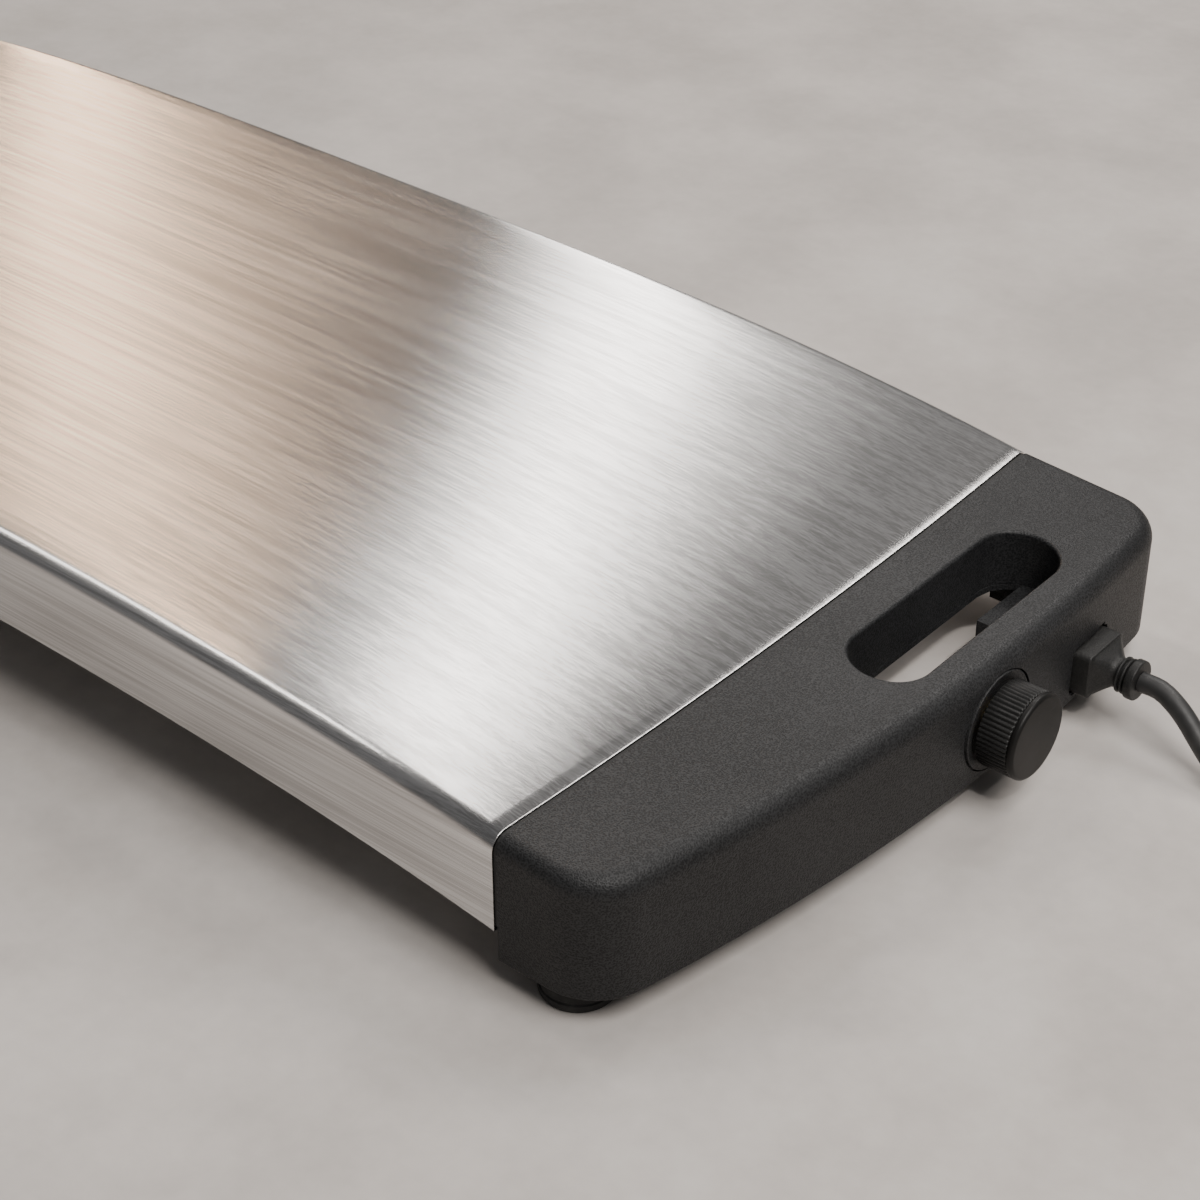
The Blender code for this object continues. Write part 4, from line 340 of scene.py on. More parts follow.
class Finish:
    """A material being made up from its nodes."""

    def __init__(self, name, **uniform):
        self.material = bpy.data.materials.new(name)
        self.material.use_nodes = True
        self.tree = self.material.node_tree
        self.shader = self.tree.nodes["Principled BSDF"]
        for key, value in uniform.items():
            socket = key.replace("_", " ").title().replace("Ior", "IOR")
            self.shader.inputs[socket].default_value = value

    def node(self, kind, settings=None, sockets=None, output=0):
        """Any node: its settings first, then its sockets' values and links."""
        made = self.tree.nodes.new(kind)
        for key, value in (settings or {}).items():
            if key == "stops":
                self.set_stops(made.color_ramp, value)
            else:
                setattr(made, key, value)
        for key, value in (sockets or {}).items():
            self.feed(made.inputs[key], value)
        return Value(self, made.outputs[output])

    def set_stops(self, ramp, stops):
        for element, (position, color) in zip(ramp.elements, stops):
            element.position = position
            element.color = (*color, 1)
        for position, color in stops[2:]:
            ramp.elements.new(position).color = (*color, 1)

    def feed(self, socket, value):
        if isinstance(value, Value):
            self.tree.links.new(value.socket, socket)
        elif socket.type == "RGBA":
            socket.default_value = (*value, 1)
        else:
            socket.default_value = value

    def place(self, scale=(1, 1, 1)):
        """The point on the piece in metres, stretched by a scale."""
        point = self.node("ShaderNodeTexCoord", output="Object")
        return self.node("ShaderNodeVectorMath", {"operation": "MULTIPLY"}, {0: point, 1: scale})

    def cloud(self, scale, detail=3.0, stretch=(1, 1, 1), rough=0.55):
        sockets = {"Scale": scale, "Detail": detail, "Roughness": rough}
        return self.node("ShaderNodeTexNoise", None, {"Vector": self.place(stretch), **sockets})

    def grains(self, scale, feature):
        sockets = {"Vector": self.place(), "Scale": scale}
        return self.node("ShaderNodeTexVoronoi", {"feature": feature}, sockets)

    def bands(self, scale, direction):
        sockets = {"Vector": self.place(), "Scale": scale}
        return self.node("ShaderNodeTexWave", {"bands_direction": direction}, sockets)

    def blend(self, share, first, second):
        """A colour between two colours."""
        return self.node("ShaderNodeMix", {"data_type": "RGBA"}, {0: share, 6: first, 7: second}, 2)

    def relief(self, height, distance, strength):
        sockets = {"Height": height, "Distance": distance, "Strength": strength}
        return self.node("ShaderNodeBump", None, sockets)

    def coat(self, **varying):
        """Feeds the shader and hands over the material."""
        for key, value in varying.items():
            self.feed(self.shader.inputs[key.replace("_", " ").title()], value)
        return self.material


# Shapes

def solid_through(rings, cyclic=False):
    """A closed solid through rings of points, capped at both ends unless cyclic."""
    solid = bmesh.new()
    rows = [[solid.verts.new(point) for point in ring] for ring in rings]
    pairs = list(zip(rows, rows[1:]))
    if cyclic:
        pairs.append((rows[-1], rows[0]))
    for low, high in pairs:
        for index in range(len(low)):
            following = (index + 1) % len(low)
            solid.faces.new((low[index], low[following], high[following], high[index]))
    if not cyclic:
        solid.faces.new(list(reversed(rows[0])))
        solid.faces.new(rows[-1])
    bmesh.ops.remove_doubles(solid, verts=solid.verts, dist=WELD)
    bmesh.ops.recalc_face_normals(solid, faces=solid.faces)
    return solid


def turned(profile, segments, axis="Z", centre=(0, 0, 0)):
    """A solid of revolution from (radius, height) points; radius zero closes on the axis."""
    solid = bmesh.new()
    rows = []
    for radius, height in profile:
        count = segments if radius else 1
        row = []
        for index in range(count):
            angle = 2 * math.pi * index / segments
            point = (radius * math.cos(angle), radius * math.sin(angle), height)
            row.append(solid.verts.new(point))
        rows.append(row)
    pairs = list(zip(rows, rows[1:]))
    if profile[0][0] != 0:
        pairs.append((rows[-1], rows[0]))
    for low, high in pairs:
        for index in range(segments):
            following = (index + 1) % segments
            corners = [low[index % len(low)], low[following % len(low)]]
            corners += [high[following % len(high)], high[index % len(high)]]
            solid.faces.new(list(dict.fromkeys(corners)))
    if axis == "X":
        bmesh.ops.rotate(solid, matrix=Matrix.Rotation(math.pi / 2, 3, "Y"), verts=solid.verts)
    bmesh.ops.translate(solid, vec=centre, verts=solid.verts)
    bmesh.ops.recalc_face_normals(solid, faces=solid.faces)
    return solid


def rod(radius, low, high, segments=48, axis="Z", centre=(0, 0, 0)):
    return turned(((0, low), (radius, low), (radius, high), (0, high)), segments, axis, centre)


def block(low, high):
    (x0, y0, z0), (x1, y1, z1) = low, high
    outline = ((x0, y0), (x1, y0), (x1, y1), (x0, y1))
    return solid_through([[(x, y, z) for x, y in outline] for z in (z0, z1)])


def arc_profile(centre, radius, start, end, steps):
    """Points of an arc between two angles in degrees, for a turned profile."""
    points = []
    for index in range(steps + 1):
        angle = math.radians(start + (end - start) * index / steps)
        points.append((centre[0] + radius * math.cos(angle), centre[1] + radius * math.sin(angle)))
    return points


def rounded_rectangle(half_width, half_height, radius, steps):
    """Outline points of a rounded rectangle, which is a circle where the radius fills it."""
    points = []
    for corner, (side, top) in enumerate(((1, 1), (-1, 1), (-1, -1), (1, -1))):
        for index in range(steps):
            angle = math.pi / 2 * (corner + index / (steps - 1))
            points.append((
                side * (half_width - radius) + radius * math.cos(angle),
                top * (half_height - radius) + radius * math.sin(angle),
            ))
    return points


def scratch(solid):
    mesh = bpy.data.meshes.new("scratch")
    solid.to_mesh(mesh)
    solid.free()
    return put("scratch", mesh)


def combine(body, *steps):
    """Cut or join solids one after another: each step is an operation and its tool."""
    target = scratch(body)
    tools = []
    for operation, tool in steps:
        tools.append(scratch(tool))
        modifier = target.modifiers.new("step", "BOOLEAN")
        modifier.operation = operation
        modifier.solver = "EXACT"
        modifier.object = tools[-1]
    result = bmesh.new()
    result.from_object(target, bpy.context.evaluated_depsgraph_get())
    for item in [target, *tools]:
        mesh = item.data
        bpy.data.objects.remove(item)
        bpy.data.meshes.remove(mesh)
    bmesh.ops.remove_doubles(result, verts=result.verts, dist=WELD)
    return result


def piece(name, solid, material, body, replaced, at, mirrored=False, crease=32, turn=0.0):
    """Put a finished solid on its body in place of the plain solid that it stands for."""
    if turn:
        bmesh.ops.rotate(solid, matrix=Matrix.Rotation(turn, 3, "Z"), verts=solid.verts)
    if mirrored:
        bmesh.ops.scale(solid, vec=(-1, 1, 1), verts=solid.verts)
        bmesh.ops.reverse_faces(solid, faces=solid.faces)
    bmesh.ops.translate(solid, vec=at, verts=solid.verts)
    mesh = bpy.data.meshes.new(name)
    solid.to_mesh(mesh)
    solid.free()
    mesh.shade_smooth()
    mesh.set_sharp_from_angle(angle=math.radians(crease))
    mesh.materials.append(material)
    made = put(name, mesh)
    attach(made, body)
    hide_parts(replaced)
    return made


def weight_normals(made):
    """Let the large flat faces set the shading where they meet the rounded edges."""
    modifier = made.modifiers.new("weighted_normals", "WEIGHTED_NORMAL")
    modifier.mode = "FACE_AREA_WITH_ANGLE"
    modifier.weight = 80
    modifier.keep_sharp = True


def as_curve(name, line, radius, material):
    """A round tube along points, as one open curve."""
    curve = bpy.data.curves.new(name, "CURVE")
    curve.dimensions = "3D"
    curve.bevel_depth = radius
    curve.bevel_resolution = 6
    curve.use_fill_caps = True
    spline = curve.splines.new("POLY")
    spline.points.add(len(line) - 1)
    for knot, point in zip(spline.points, line):
        knot.co = (*point, 1)
    spline.use_smooth = True
    curve.materials.append(material)
    return put(name, curve)


# The mains lead

def smooth_line(knots, step):
    """Points at about an even step on one smooth curve through the knots."""
    knots = [Vector(point) for point in knots]
    knots = [2 * knots[0] - knots[1], *knots, 2 * knots[-1] - knots[-2]]
    line = []
    for before, start, end, after in zip(knots, knots[1:], knots[2:], knots[3:]):
        count = max(1, round((end - start).length / step))
        for index in range(count):
            t = index / count
            line.append(0.5 * (
                2 * start + (end - before) * t
                + (2 * before - 5 * start + 4 * end - after) * t ** 2
                + (3 * start - before - 3 * end + after) * t ** 3
            ))
    return line + [knots[-2]]


def coil_line(points_each_turn):
    """Centre line of the coil: it spirals in, climbs a layer, and spirals out again."""
    count = round(COIL_TURNS * points_each_turn)
    inner = COIL_RADIUS - COIL_PITCH * COIL_TURNS / 4
    points = []
    for index in range(count + 1):
        turn = index / points_each_turn - COIL_TURNS / 2
        radius = inner + COIL_PITCH * (math.hypot(turn, COIL_REVERSAL) - COIL_REVERSAL)
        climb = min(max(2 * turn + 0.5, 0), 1)
        lower = min(max(4 * (turn - COIL_TURNS / 2) + 1, 0), 1)
        z = COIL_LOW + COIL_LAYER_STEP * smooth_step(climb)
        z += (PLUG_AXIS - COIL_HIGH) * smooth_step(lower)
        angle = COIL_START + 2 * math.pi * index / points_each_turn
        across = (radius * math.cos(angle), radius * math.sin(angle))
        points.append(Vector((COIL_U + across[0], COIL_V + across[1], z)))
    straight = 2 * CORD_RADIUS
    lead_in = (points[0] - points[1]).normalized() * straight
    lead_out = points[-1] - points[-2]
    lead_out.z = 0
    return [points[0] + lead_in, *points, points[-1] + lead_out.normalized() * straight]


def lead_line():
    """The whole centre line from the connector's collar to the plug's relief."""
    coil = coil_line(COIL_POINTS)
    heading = (coil[1] - coil[0]).normalized()
    approach = coil[0] - heading * 2 * CORD_RADIUS
    start = Vector((CONNECTOR_END + HAIRLINE, INLET_V, INLET_Z))
    straight = start + Vector((2 * CORD_RADIUS, 0, 0))
    run = smooth_line([start, straight, *CORD_ROUTE, approach], 0.003)
    line = run + coil_line(3 * COIL_POINTS)
    return [point + Vector((RIGHT_END, 0, 0)) for point in line]


def connector_sections():
    """Cross-sections from the nose to the collar: place, half width, half height, corner."""
    width = BLOCK_WIDTH / 2
    height = BLOCK_HEIGHT / 2
    edge = CONNECTOR_CHAMFER
    sections = [
        (NOSE_TIP, NOSE_WIDTH / 2 - edge, NOSE_HEIGHT / 2 - edge, CONNECTOR_CORNER - edge),
        (NOSE_TIP + edge, NOSE_WIDTH / 2, NOSE_HEIGHT / 2, CONNECTOR_CORNER),
        (BLOCK_BACK, NOSE_WIDTH / 2, NOSE_HEIGHT / 2, CONNECTOR_CORNER),
        (BLOCK_BACK, width - edge / 2, height - edge / 2, CONNECTOR_CORNER),
        (BLOCK_BACK + edge / 2, width, height, CONNECTOR_CORNER),
    ]
    for beside, below in quarter_turn(5):
        sunk = edge * beside
        place = BLOCK_FRONT - edge * below
        sections.append((place, width - sunk, height - sunk, CONNECTOR_CORNER))
    for index in range(1, 13):
        share = index / 12
        eased = share ** 0.8 * (1 - share) + (1 - (1 - share) ** 1.6) * share
        place = BLOCK_FRONT + CONNECTOR_SHOULDER * share
        half_width = (width - edge) + (NECK_RADIUS - width + edge) * eased
        half_height = (height - edge) + (NECK_RADIUS - height + edge) * eased
        corner = CONNECTOR_CORNER + (NECK_RADIUS - CONNECTOR_CORNER) * min(1, 1.4 * share)
        sections.append((place, half_width, half_height, min(corner, half_height)))
    return sections


def neck_sections():
    """Round sections of the ribbed neck and its collar: place and radius."""
    place = BLOCK_FRONT + CONNECTOR_SHOULDER
    sections = []
    for _ in range(2):
        sections += [(place, NECK_RADIUS), (place + NECK_GROOVE_LENGTH * 0.85, NECK_RADIUS)]
        place += NECK_GROOVE_LENGTH
        for degrees in (0, 30, 60, 90, 120, 150, 180):
            angle = math.radians(degrees)
            reach = NECK_RADIUS + (NECK_RIB_RADIUS - NECK_RADIUS) * math.sin(angle) ** 0.5
            sections.append((place + NECK_RIB_LENGTH * (1 - math.cos(angle)) / 2, reach))
        place += NECK_RIB_LENGTH
    sections += [(place, NECK_RADIUS), (place + NECK_GROOVE_LENGTH, NECK_RADIUS)]
    place += NECK_GROOVE_LENGTH
    for degrees in (180, 150, 120, 90):
        angle = math.radians(degrees)
        reach = COLLAR_RADIUS - COLLAR_EDGE + COLLAR_EDGE * math.sin(angle)
        sections.append((place + COLLAR_EDGE * (1 + math.cos(angle)), reach))
    place += COLLAR_LENGTH
    for degrees in (90, 60, 30, 0):
        angle = math.radians(degrees)
        reach = COLLAR_RADIUS - COLLAR_EDGE + COLLAR_EDGE * math.sin(angle)
        sections.append((place - COLLAR_EDGE * (1 - math.cos(angle)), reach))
    sections.append((place, CORD_RADIUS + 0.0008))
    return sections


def make_connector(material):
    """Moulded block with shoulders, a ribbed neck and the collar where the cord leaves."""
    sections = connector_sections()
    sections += [(place, reach, reach, reach) for place, reach in neck_sections()]
    rings = []
    for place, half_width, half_height, corner in sections:
        outline = rounded_rectangle(half_width, half_height, corner, 9)
        rings.append([(place, y, z) for y, z in outline])
    holes = []
    for y, z in PIN_HOLES:
        low = (NOSE_TIP - OVERRUN, y - PIN_HOLE_HALF_WIDTH, z - PIN_HOLE_HALF_HEIGHT)
        high = (PIN_TIP + PIN_HOLE_DEPTH, y + PIN_HOLE_HALF_WIDTH, z + PIN_HOLE_HALF_HEIGHT)
        holes.append(("DIFFERENCE", block(low, high)))
    return piece(
        "connector", combine(solid_through(rings), *holes), material, "mains_lead",
        "lead_connector", (RIGHT_END, INLET_V, INLET_Z), crease=38,
    )


def plug_place():
    """Where the plug's relief starts, at the end of the coil, and its heading."""
    coil = coil_line(COIL_POINTS)
    heading = (coil[-1] - coil[-2]).normalized()
    start = coil[-1] + heading * HAIRLINE
    return (RIGHT_END + start.x, start.y, start.z), math.atan2(heading.y, heading.x)


def make_plug(material):
    """Moulded plug with a ribbed relief, finger grips on its sides and a flat pin face."""
    at, turn = plug_place()
    half_width = PLUG_BODY_WIDTH / 2
    half_height = PLUG_AXIS
    sections = []
    pitch = PLUG_RELIEF_LENGTH / PLUG_RELIEF_RIBS
    for index in range(PLUG_RELIEF_RIBS):
        wide = PLUG_RELIEF_RADIUS + index * PLUG_RELIEF_GROOVE / 2
        thin = wide - PLUG_RELIEF_GROOVE
        for share in (0, 0.04, 0.1, 0.5, 0.56, 0.6, 0.66, 0.95, 0.99):
            step = min(1, max(0, (0.66 - share) / 0.1))
            edge = 0.0005 if share == 0 else 0
            reach = thin + (wide - thin) * step - edge
            sections.append(((index + share) * pitch, reach, reach, reach))
    x = PLUG_RELIEF_LENGTH
    small = PLUG_BODY_CORNER + PLUG_EDGE
    for index in range(11):
        share = index / 10
        eased = math.sin(math.pi / 2 * share)
        wide = small + (half_width - small) * eased
        high = small + (half_height - small) * eased
        sections.append((x + PLUG_SHOULDER * share, wide, high, PLUG_BODY_CORNER))
    face = x + PLUG_BODY_LENGTH
    for index in range(16):
        share = index / 15
        place = x + PLUG_SHOULDER + (face - PLUG_EDGE - x - PLUG_SHOULDER) * share
        wave = 0.5 - 0.5 * math.cos(2 * math.pi * PLUG_GRIPS * share)
        grip = PLUG_GRIP_DEPTH * wave if 0.1 < share < 0.8 else 0
        sections.append((place, half_width - grip, half_height, PLUG_BODY_CORNER))
    for beside, below in list(quarter_turn(4))[1:]:
        sunk = PLUG_EDGE * beside
        place = face - PLUG_EDGE * below
        sections.append((place, half_width - sunk, half_height - sunk, PLUG_BODY_CORNER - sunk))
    rings = []
    for place, wide, high, corner in sections:
        rings.append([(place, y, z) for y, z in rounded_rectangle(wide, high, corner, 9)])
    return piece(
        "plug", solid_through(rings), material, "mains_lead",
        "mains_plug", at, turn=turn, crease=38,
    )


def make_tie(material):
    """Woven strap around the coil's turns, with softened edges."""
    middle = (TIE_LOW + TIE_HIGH) / 2
    half_height = (TIE_HIGH - TIE_LOW) / 2
    inner = rounded_rectangle(TIE_INNER_HALF_WIDTH, half_height, TIE_CORNER, 10)
    wall = TIE_THICKNESS
    outer = rounded_rectangle(TIE_INNER_HALF_WIDTH + wall, half_height + wall, TIE_CORNER + wall, 10)
    half = TIE_WIDTH / 2
    soft = half - TIE_EDGE
    edge = [(1, -soft), (0.75, -half), (0.25, -half), (0, -soft)]
    rows = edge + [(0, -half / 3), (0, half / 3)]
    rows += [(share, -y) for share, y in reversed(edge)] + [(1, half / 3), (1, -half / 3)]
    loops = []
    for share, y in rows:
        loop = []
        for (xi, zi), (xo, zo) in zip(inner, outer):
            loop.append((xo + (xi - xo) * share, y, middle + zo + (zi - zo) * share))
        loops.append(loop)
    along = Vector((math.cos(TIE_ANGLE), math.sin(TIE_ANGLE), 0)) * COIL_RADIUS
    at = (RIGHT_END + COIL_U + along.x, COIL_V + along.y, 0)
    return piece(
        "strap", solid_through(loops, cyclic=True), material, "mains_lead",
        "cord_tie", at, turn=TIE_ANGLE,
    )


def make_lead(finishes):
    """The connector, cord, strap and plug, all put on the mains lead's body."""
    connector = make_connector(finishes["lead_plastic"])
    plug = make_plug(finishes["lead_plastic"])
    strap = make_tie(finishes["strap_weave"])
    line = lead_line()
    cord = as_curve("mains_cord", line, CORD_RADIUS, finishes["cord_sheath"])
    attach(cord, "mains_lead")
    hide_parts("cord_run", "cord_coil")
    length = sum((b - a).length for a, b in zip(line, line[1:]))


# The steel top

def arch(x):
    """Height of the steel's top at x from the tray's middle."""
    return END_HEIGHT + ARCH_RISE * (1 - abs(x / HALF_LENGTH) ** ARCH_POWER)


def junction_bow(v):
    """How far the steel's end line bows outwards at v."""
    return JUNCTION_BOW * (1 - (v / HALF_DEPTH) ** 2)


def fold_contour(sunk, bottom, fold_steps=9, flat_steps=28):
    """The steel's outline as (y, depth) from the front skirt's foot over to the back one."""
    radius = FOLD_RADIUS - sunk
    edge = HALF_DEPTH - sunk
    front = [(-edge, bottom), (-edge, (bottom + FOLD_RADIUS) / 2)]
    for beside, below in quarter_turn(fold_steps):
        front.append((radius * beside - edge, sunk + radius * below))
    flat = HALF_DEPTH - FOLD_RADIUS
    middle = [flat * (2 * index / flat_steps - 1) for index in range(1, flat_steps)]
    back = [(-y, depth) for y, depth in reversed(front)]
    return front + [(y, sunk) for y in middle] + back


def make_steel_top(material):
    """One sheet, arched along its length, folded down front and back, with a turned-in flange."""
    flange = HALF_DEPTH - FLANGE_WIDTH
    section = fold_contour(0, SKIRT_HEIGHT)
    section += [(flange, SKIRT_HEIGHT), (flange, SKIRT_HEIGHT - SHEET)]
    section += list(reversed(fold_contour(SHEET, SKIRT_HEIGHT - SHEET)))
    section += [(-flange, SKIRT_HEIGHT - SHEET), (-flange, SKIRT_HEIGHT)]
    rings = []
    count = 112
    stations = [(HALF_LENGTH * (2 * index / count - 1), 0) for index in range(1, count)]
    for back, rolled in EDGE_ROLL:
        stations.append((HALF_LENGTH - back, rolled))
        stations.insert(0, (back - HALF_LENGTH, rolled))
    for x, rolled in stations:
        ring = []
        for place_in_section, (y, depth) in enumerate(section):
            place = x * (1 + junction_bow(y) / HALF_LENGTH)
            outer = place_in_section <= len(section) / 2
            ring.append((place, y, arch(place) - depth - (rolled if outer else 0)))
        rings.append(ring)
    made = piece(
        "steel_top", solid_through(rings), material, "tray",
        "top_plate", (STEEL_CENTRE, 0, 0), crease=40,
    )
    # The grain runs along X, so the gloss spreads along Y: seen from far out on the left,
    # the shader's round tangent points that way all over the sheet
    made.data.use_auto_texspace = False
    made.data.texspace_location = (-60, 0, 0)
    made.data.texspace_size = (1, 1, 1)
    return made


def make_batt(material):
    """Fibre batt under the element, with lumpy faces and softened edges."""
    half_width = HALF_DEPTH - BATT_SIDE_GAP
    end = HALF_LENGTH - BATT_END_GAP
    along, across, around = 90, 44, 4
    outline = [(half_width * (2 * i / across - 1), 0) for i in range(across + 1)]
    outline += [(half_width, i / around) for i in range(1, around)]
    outline += [(-y, 1 - share) for y, share in outline]
    rings = []
    for index in range(along + 1):
        x = end * (2 * index / along - 1)
        edge_x = min(1, (end - abs(x)) / BATT_SOFT_EDGE)
        ring = []
        for y, share in outline:
            edge_y = min(1, (half_width - abs(y)) / BATT_SOFT_EDGE)
            corner = 0.0022 * (1 - min(edge_x, edge_y)) ** 2
            lump = 0.0006 * (1 + noise.noise(Vector((x, y, share * 0.2)) * 70))
            lump += 0.0003 * (1 + noise.noise(Vector((x, y, share * 0.2)) * 260))
            depth = share * (BATT_THICKNESS - 0.0006) + (0.5 - share) * 2 * (corner + lump)
            narrow = 1 - 0.006 * (1 + noise.noise(Vector((x, share, 3)) * 40))
            ring.append((x * 0.998, y * narrow, arch(x) - BATT_TOP - 0.00025 - depth))
        rings.append(ring)
    batt = piece(
        "fibre_batt", solid_through(rings), material, "tray",
        "insulation_pad", (STEEL_CENTRE, 0, 0), crease=80,
    )
    return batt


# The handle moulding

def handle_top(u):
    """Height of the handle's top, which falls slightly outwards."""
    return END_HEIGHT - HANDLE_FALL / HANDLE_REACH * u


def handle_reach(v):
    """How far out the handle's bowed and skewed outer face stands at v."""
    share = v / HALF_DEPTH
    return HANDLE_REACH + HANDLE_SWELL * (1 - share ** 2) + HANDLE_SKEW * share


def corner_arc(side, radius):
    """Points of the rounded corner that joins the side face to the bowed outer face."""
    centre_v = side * (HALF_DEPTH - radius)
    touch = centre_v
    for _ in range(20):
        slope = (HANDLE_SKEW - 2 * HANDLE_SWELL * touch / HALF_DEPTH) / HALF_DEPTH
        tilt = math.atan2(-slope, 1)
        touch = centre_v + radius * math.sin(tilt)
    centre_u = handle_reach(touch) - radius * math.cos(tilt)
    start, end = (-math.pi / 2, tilt) if side < 0 else (tilt, math.pi / 2)
    points = []
    for index in range(CORNER_STEPS + 1):
        angle = start + (end - start) * index / CORNER_STEPS
        points.append((centre_u + radius * math.cos(angle), centre_v + radius * math.sin(angle)))
    return points


def handle_plan():
    """The handle's plan, anticlockwise, with the top edge's radius along each edge."""
    front = corner_arc(-1, FRONT_CORNER_RADIUS)
    back = corner_arc(1, BACK_CORNER_RADIUS)
    plan = [(JOINT_GAP, -HALF_DEPTH)] + front
    start, end = front[-1][1], back[0][1]
    for index in range(1, OUTER_STEPS):
        v = start + (end - start) * index / OUTER_STEPS
        plan.append((handle_reach(v), v))
    plan += back
    step = HANDLE_EDGE_RADIUS - FOLD_RADIUS
    blend = []
    for index in range(CORNER_STEPS):
        share = (index + 0.5) / CORNER_STEPS
        blend.append(smooth_step(share))
    radii = [FOLD_RADIUS] + [FOLD_RADIUS + step * share for share in blend]
    radii += [HANDLE_EDGE_RADIUS] * OUTER_STEPS
    radii += [HANDLE_EDGE_RADIUS - step * share for share in blend] + [FOLD_RADIUS]
    flat = HALF_DEPTH - FOLD_RADIUS
    inner = [(JOINT_GAP, HALF_DEPTH)]
    for index in range(BOW_STEPS + 1):
        v = flat * (1 - 2 * index / BOW_STEPS)
        inner.append((JOINT_GAP + junction_bow(v), v))
    return plan + inner, radii + [0.0] * len(inner)


def moved_in(plan, distances):
    """Move each edge of an anticlockwise outline inwards by its own distance."""
    points = []
    for index, (u, v) in enumerate(plan):
        before = plan[index - 1]
        after = plan[(index + 1) % len(plan)]
        first = Vector((v - before[1], before[0] - u)).normalized()
        second = Vector((after[1] - v, u - after[0])).normalized()
        a, b = distances[index - 1], distances[index]
        turn = first.x * second.y - first.y * second.x
        if abs(turn) < math.sin(math.radians(8)):
            middle = (first + second) / (1 + first.dot(second))
            points.append((u - middle.x * (a + b) / 2, v - middle.y * (a + b) / 2))
        else:
            shift_u = (b * first.y - a * second.y) / turn
            shift_v = (a * second.x - b * first.x) / turn
            points.append((u + shift_u, v + shift_v))
    return points


def handle_form():
    """The handle's outer form, with its rounded top and bottom edges."""
    plan, radii = handle_plan()
    corner_radii = [(radii[index - 1] + radii[index]) / 2 for index in range(len(plan))]
    for index, radius in enumerate(radii):
        if min(radius, radii[index - 1]) == 0:
            corner_radii[index] = max(radius, radii[index - 1])
    bottoms = [HANDLE_BOTTOM_RADIUS if radius else 0.0 for radius in radii]
    rings = []
    for beside, below in quarter_turn(4):
        outline = moved_in(plan, [bottom * below for bottom in bottoms])
        z = HANDLE_BOTTOM + HANDLE_BOTTOM_RADIUS * beside
        rings.append([(u, v, z) for u, v in outline])
    for z in (0.022, 0.036):
        rings.append([(u, v, z) for u, v in plan])
    for beside, below in quarter_turn(EDGE_STEPS):
        outline = moved_in(plan, [radius * beside for radius in radii])
        ring = []
        for (u, v), radius in zip(outline, corner_radii):
            ring.append((u, v, handle_top(u) - radius * below))
        rings.append(ring)
    return solid_through(rings)


def handle_hollow():
    """The space inside the handle, which follows its walls and its sloping top."""
    plan, radii = handle_plan()
    low = moved_in(plan, [HANDLE_WALL] * len(radii))
    high = moved_in(plan, [HANDLE_WALL + HANDLE_TOP_WALL] * len(radii))
    return solid_through([
        [(u, v, HANDLE_BOTTOM - OVERRUN) for u, v in low],
        [(u, v, handle_top(u) - 2 * HANDLE_TOP_WALL) for u, v in low],
        [(u, v, handle_top(u) - HANDLE_TOP_WALL) for u, v in high],
    ])


def slot_outline(grow):
    """The slot's long rounded outline, grown by a margin."""
    steps = 26
    radius = SLOT_WIDTH / 2 + grow
    straight = (SLOT_LENGTH - SLOT_WIDTH) / 2
    points = []
    for side in (1, -1):
        for index in range(steps + 1):
            angle = math.pi * index / steps + (0 if side > 0 else math.pi)
            u = SLOT_U + radius * math.cos(angle)
            points.append((u, SLOT_V + side * straight + radius * math.sin(angle)))
    return points


def slot_collar():
    """The wall round the slot, inside the handle."""
    outline = slot_outline(COLLAR_WALL)
    low = [(u, v, COLLAR_BOTTOM) for u, v in outline]
    high = [(u, v, handle_top(u) - HANDLE_TOP_WALL / 2) for u, v in outline]
    return solid_through([low, high])


def slot_opening():
    """The slot itself, flared to a rounded lip at the top."""
    rings = [[(u, v, HANDLE_BOTTOM - OVERRUN) for u, v in slot_outline(0)]]
    for degrees in range(0, 88, 12):
        angle = math.radians(degrees)
        ring = []
        for u, v in slot_outline(SLOT_LIP * (1 - math.cos(angle))):
            ring.append((u, v, handle_top(u) - SLOT_LIP * (1 - math.sin(angle))))
        rings.append(ring)
    rings.append([(u, v, z + OVERRUN) for u, v, z in rings[-1]])
    return solid_through(rings)


def spigot_row(sunk, from_end, offset):
    """One edge of the spigot, which follows the steel's folded section."""
    row = []
    for y, depth in fold_contour(sunk, PAN_TOP - HAIRLINE, 6, 16):
        u = offset + (junction_bow(y) if from_end else 0)
        row.append((u, y, arch(HALF_LENGTH + u) - depth - 0.0002))
    return row


def spigot():
    """The collar of the moulding that reaches in under the steel."""
    end = JOINT_GAP + HANDLE_WALL / 2
    inner = SPIGOT_INSET + SPIGOT_WALL
    rows = [
        spigot_row(SPIGOT_INSET, False, -SPIGOT_LENGTH),
        spigot_row(SPIGOT_INSET, True, end),
        spigot_row(inner, True, end),
        spigot_row(inner, False, -SPIGOT_LENGTH),
    ]
    return solid_through(list(zip(*rows)))


